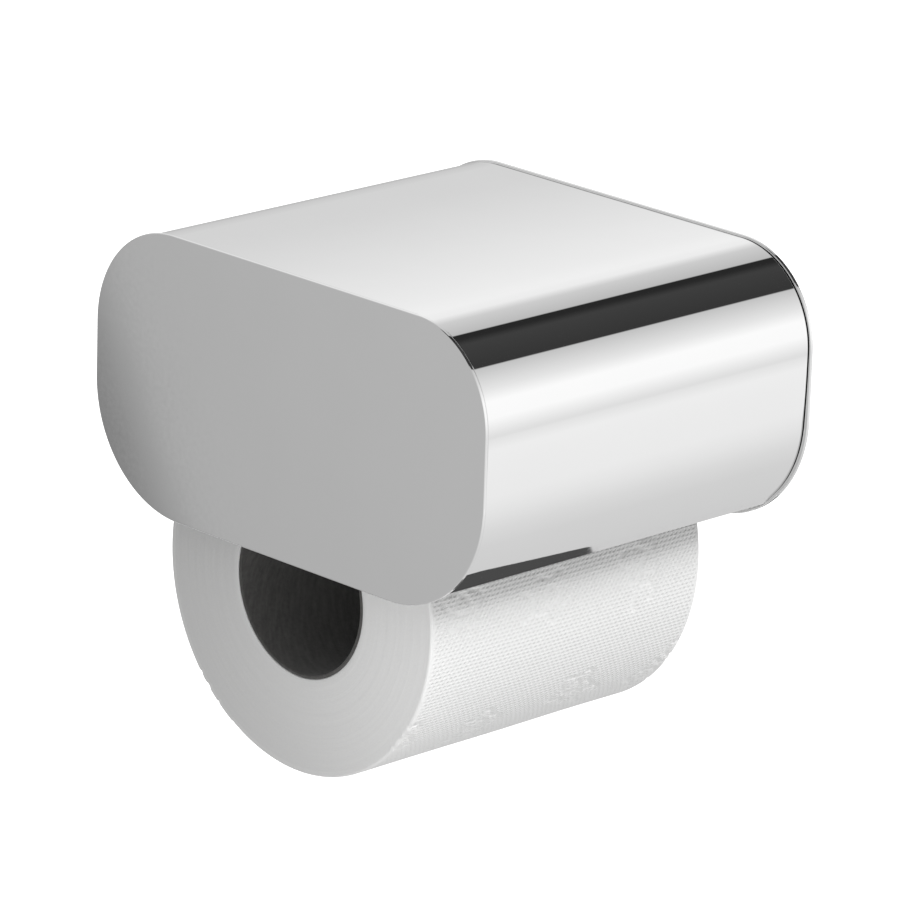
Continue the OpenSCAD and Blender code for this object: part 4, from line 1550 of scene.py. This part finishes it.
@dataclass
class Studio:
    """The camera, the pale floor, the soft lights and what the metal reflects."""

    azimuth: float = -44.44
    elevation: float = 17.68
    roll: float = 1.75
    aim: tuple[float, float, float] = (0.0, -60.0, 0.0)
    lit: tuple[float, float, float] = (-20.0, -75.0, -52.0)
    distance: float = 1761.8
    right: float = 11.2
    up: float = -23.5
    lens: float = 258.5
    sensor: float = 36.0
    floor_drop: float = 450.0
    floor_half: float = 6.0
    cards: tuple[Card, ...] = (
        Card(0, 20.8, 0.60, 0.68),
        Card(20.9, 21.5, 0.68, 0.72),
        Card(21.5, 22.35, 0.72, 0.85),
        Card(22.4, 40, 0.93, 0.90),
        Card(41, 53, 0.89, 0.66),
        Card(54, 76.3, 0.65, 0.53),
        Card(76.8, 84, 0.020, 0.024),
        Card(92, 124.3, 0.052, 0.038),
        Card(124.7, 150, 0.58, 0.84),
        Card(164, 183, 1.04, 1.03),
        Card(204, 204.1, 0.79, 0.97),
        Card(205.5, 210.2, 0.91, 0.885),
        Card(210.5, 229, 0.84, 0.74),
        Card(247, 318, 0.68, 0.62),
        Card(330, 359, 0.50, 0.55),
    )

    facing_x: float = 0.685
    facing_half: float = 0.06
    aside_dim: float = 0.13
    side_edge: float = -0.5
    side_lean: float = 0.448
    side_start: float = 0.815
    side_bend: float = 0.8459
    side_end: float = 0.8515
    side_levels: tuple[float, float, float] = (0.485, 0.445, 0.225)
    gap_angles: tuple[float, float, float] = (280.5, 322.0, 294.0)
    gap_taper: tuple[float, float] = (0.667, 0.680)
    gap_left: float = 0.6
    gap_dark: tuple[float, float, float] = (0.07, 0.07, 0.07)
    even_light: float = 0.80
    even_fall: tuple[float, float, float] = (0.50, 0.46, 0.10)

    def camera(self) -> None:
        """A long lens at the picture's angle, its aim moved across the view."""
        a, e, roll = (math.radians(x) for x in (self.azimuth, self.elevation, self.roll))
        back = Vector((math.sin(a) * math.cos(e), -math.cos(a) * math.cos(e), math.sin(e)))
        right = Vector((math.cos(a), math.sin(a), 0))
        up = back.cross(right)
        place = Vector(self.aim) + back * self.distance + right * self.right + up * self.up
        tilted_right = right * math.cos(roll) + up * math.sin(roll)
        tilted_up = up * math.cos(roll) - right * math.sin(roll)
        data = bpy.data.cameras.new("camera")
        data.lens = self.lens
        data.sensor_width = self.sensor
        data.clip_start, data.clip_end = 0.05, 50.0
        camera = bpy.data.objects.new("camera", data)
        columns = Matrix((tilted_right, tilted_up, back)).transposed()
        camera.matrix_world = Matrix.Translation(place * MM) @ columns.to_4x4()
        bpy.context.scene.collection.objects.link(camera)
        bpy.context.scene.camera = camera

    def floor(self) -> None:
        """A wide pale floor below the object, faintly lit from within so that it stays plain."""
        size = self.floor_half
        low = cad_box[0][2] - self.floor_drop * MM
        corners = [(-size, -size, low), (size, -size, low), (size, size, low), (-size, size, low)]
        mesh = bpy.data.meshes.new("floor")
        mesh.from_pydata(corners, [], [[0, 1, 2, 3]])
        graph = Dressing("floor_paint")
        graph.constants(Roughness=0.9, Emission_Color=(1, 1, 1, 1), Emission_Strength=1.0)
        graph.tint(graph.noise(3.0), "Fac", (0.80, 0.80, 0.80), (0.82, 0.82, 0.82))
        mesh.materials.append(graph.material)
        floor = bpy.data.objects.new("floor", mesh)
        floor.visible_glossy = False
        floor.visible_diffuse = False
        bpy.context.scene.collection.objects.link(floor)

    def lights(self) -> None:
        """Soft panels that neither the polished metal nor the camera sees."""
        self.panel("key", (200, -900, 780), 0.40, 6.8)
        self.panel("left_fill", (-130, -135, -66), 0.08, 0.033)

    def panel(self, name: str, place: tuple[float, float, float], size: float, power: float) -> None:
        """One square area light turned towards the middle of the roll."""
        data = bpy.data.lights.new(name, "AREA")
        data.size = size
        data.energy = power
        light = bpy.data.objects.new(name, data)
        at = Vector(place) * MM
        light.location = at
        light.rotation_mode = "QUATERNION"
        light.rotation_quaternion = (at - Vector(self.lit) * MM).to_track_quat("Z", "Y")
        light.visible_glossy = False
        light.visible_camera = False
        bpy.context.scene.collection.objects.link(light)

    def seen_by_metal(self, g: Graph) -> bpy.types.Node:
        """The brightness that polished metal sees in each direction.

        The cards are stops of a ramp over the angle about X, arctan2(Z, Y), and
        they are dimmer where X is more than facing_half away from facing_x. To
        the left a panel takes their place, which darkens towards the wall with
        Y - side_lean Z. Low down there is a dark gap that narrows to the right,
        as its start moves from the first of gap_angles to the last.

        Args:
            g: the world's node tree.

        Returns:
            The node whose first output is the brightness.
        """
        split = g.node("ShaderNodeSeparateXYZ")
        g.link(g.node("ShaderNodeTexCoord"), "Generated", split, 0)
        x, y, z = (g.plain(split, axis) for axis in "XYZ")
        turn = g.math("FRACT", g.math("MULTIPLY", g.math("ARCTAN2", z, y), 1 / (2 * math.pi)))
        stops = [(c.start, c.first) for c in self.cards] + [(c.end, c.last) for c in self.cards]
        bands = g.ramp(turn, 0, [(place / 360, (level,) * 3) for place, level in sorted(stops)])
        lean = g.math("SUBTRACT", y, g.math("MULTIPLY", z, self.side_lean))
        side = g.spread(lean, 0, (self.side_start, self.side_end), (0.0, 1.0))
        bend = (self.side_bend - self.side_start) / (self.side_end - self.side_start)
        panel = g.ramp(side, 0, [(p, (level,) * 3) for p, level in zip((0, bend, 1), self.side_levels)])
        off_facing = g.math("ABSOLUTE", g.math("SUBTRACT", x, self.facing_x))
        aside = g.math("GREATER_THAN", off_facing, self.facing_half)
        dimmed = g.math("SUBTRACT", 1.0, g.math("MULTIPLY", aside, self.aside_dim))
        bands = g.math("MULTIPLY", bands, dimmed)
        to_left = g.math("LESS_THAN", x, self.side_edge)
        level = g.blend(to_left, bands, panel)
        gap_start, gap_end, gap_close = (angle / 360 for angle in self.gap_angles)
        taper = g.spread(x, 0, self.gap_taper, (gap_start, gap_close))
        gap = g.math("MULTIPLY", g.math("GREATER_THAN", turn, taper), g.math("LESS_THAN", turn, gap_end))
        gap = g.math("MULTIPLY", gap, g.math("GREATER_THAN", x, self.gap_left))
        dark = g.node("ShaderNodeRGB")
        dark.outputs[0].default_value = (*self.gap_dark, 1)
        return g.blend(gap, level, dark)

    def seen_by_paper(self, g: Graph) -> bpy.types.Node:
        """The even light on paper, which falls off to the left and towards the wall and grows below."""
        split = g.node("ShaderNodeSeparateXYZ")
        g.link(g.node("ShaderNodeTexCoord"), "Generated", split, 0)
        to_left, to_wall, from_below = self.even_fall
        left = g.math("MULTIPLY", g.math("MINIMUM", g.plain(split, "X"), 0.0), to_left)
        wall = g.math("MULTIPLY", g.math("MAXIMUM", g.plain(split, "Y"), 0.0), to_wall)
        below = g.math("MULTIPLY", g.math("MINIMUM", g.plain(split, "Z"), 0.0), -from_below)
        return g.math("ADD", g.math("ADD", g.math("SUBTRACT", left, wall), below), self.even_light)

    def surroundings(self) -> None:
        """The studio's walls: white to the camera, even to paper, cards to polished metal."""
        world = bpy.data.worlds.new("studio")
        bpy.context.scene.world = world
        world.use_nodes = True
        g = Graph(world.node_tree)
        cards = g.node("ShaderNodeBackground")
        g.link(self.seen_by_metal(g), 0, cards, "Color")
        even = g.node("ShaderNodeBackground")
        g.link(self.seen_by_paper(g), 0, even, "Color")
        white = g.node("ShaderNodeBackground", {"Color": (1, 1, 1, 1)})
        path = g.node("ShaderNodeLightPath")
        by_gloss, by_camera = g.node("ShaderNodeMixShader"), g.node("ShaderNodeMixShader")
        g.link(path, "Is Glossy Ray", by_gloss, 0)
        g.link(even, 0, by_gloss, 1)
        g.link(cards, 0, by_gloss, 2)
        g.link(path, "Is Camera Ray", by_camera, 0)
        g.link(by_gloss, 0, by_camera, 1)
        g.link(white, 0, by_camera, 2)
        g.link(by_camera, 0, g.node("ShaderNodeOutputWorld"), "Surface")

    def build(self) -> None:
        """Sets up the studio."""
        self.camera()
        self.floor()
        self.lights()
        self.surroundings()
        settings = bpy.context.scene.view_settings
        settings.view_transform = "Standard"


def main() -> None:
    """Builds the holder, from its plates to its roll, in the studio."""
    logging.basicConfig(level=logging.INFO, format="%(message)s")
    Studio().build()
    shop = Workshop(Finishes(middle_mm("roll_paper")).build())
    for part in (EndPlates, Lid, HingeAndRests, BackBar, RollBar, PaperRoll):
        part(shop).build()
    log.info("%d pieces made", len(shop.made))


if __name__ == "__main__":
    main()
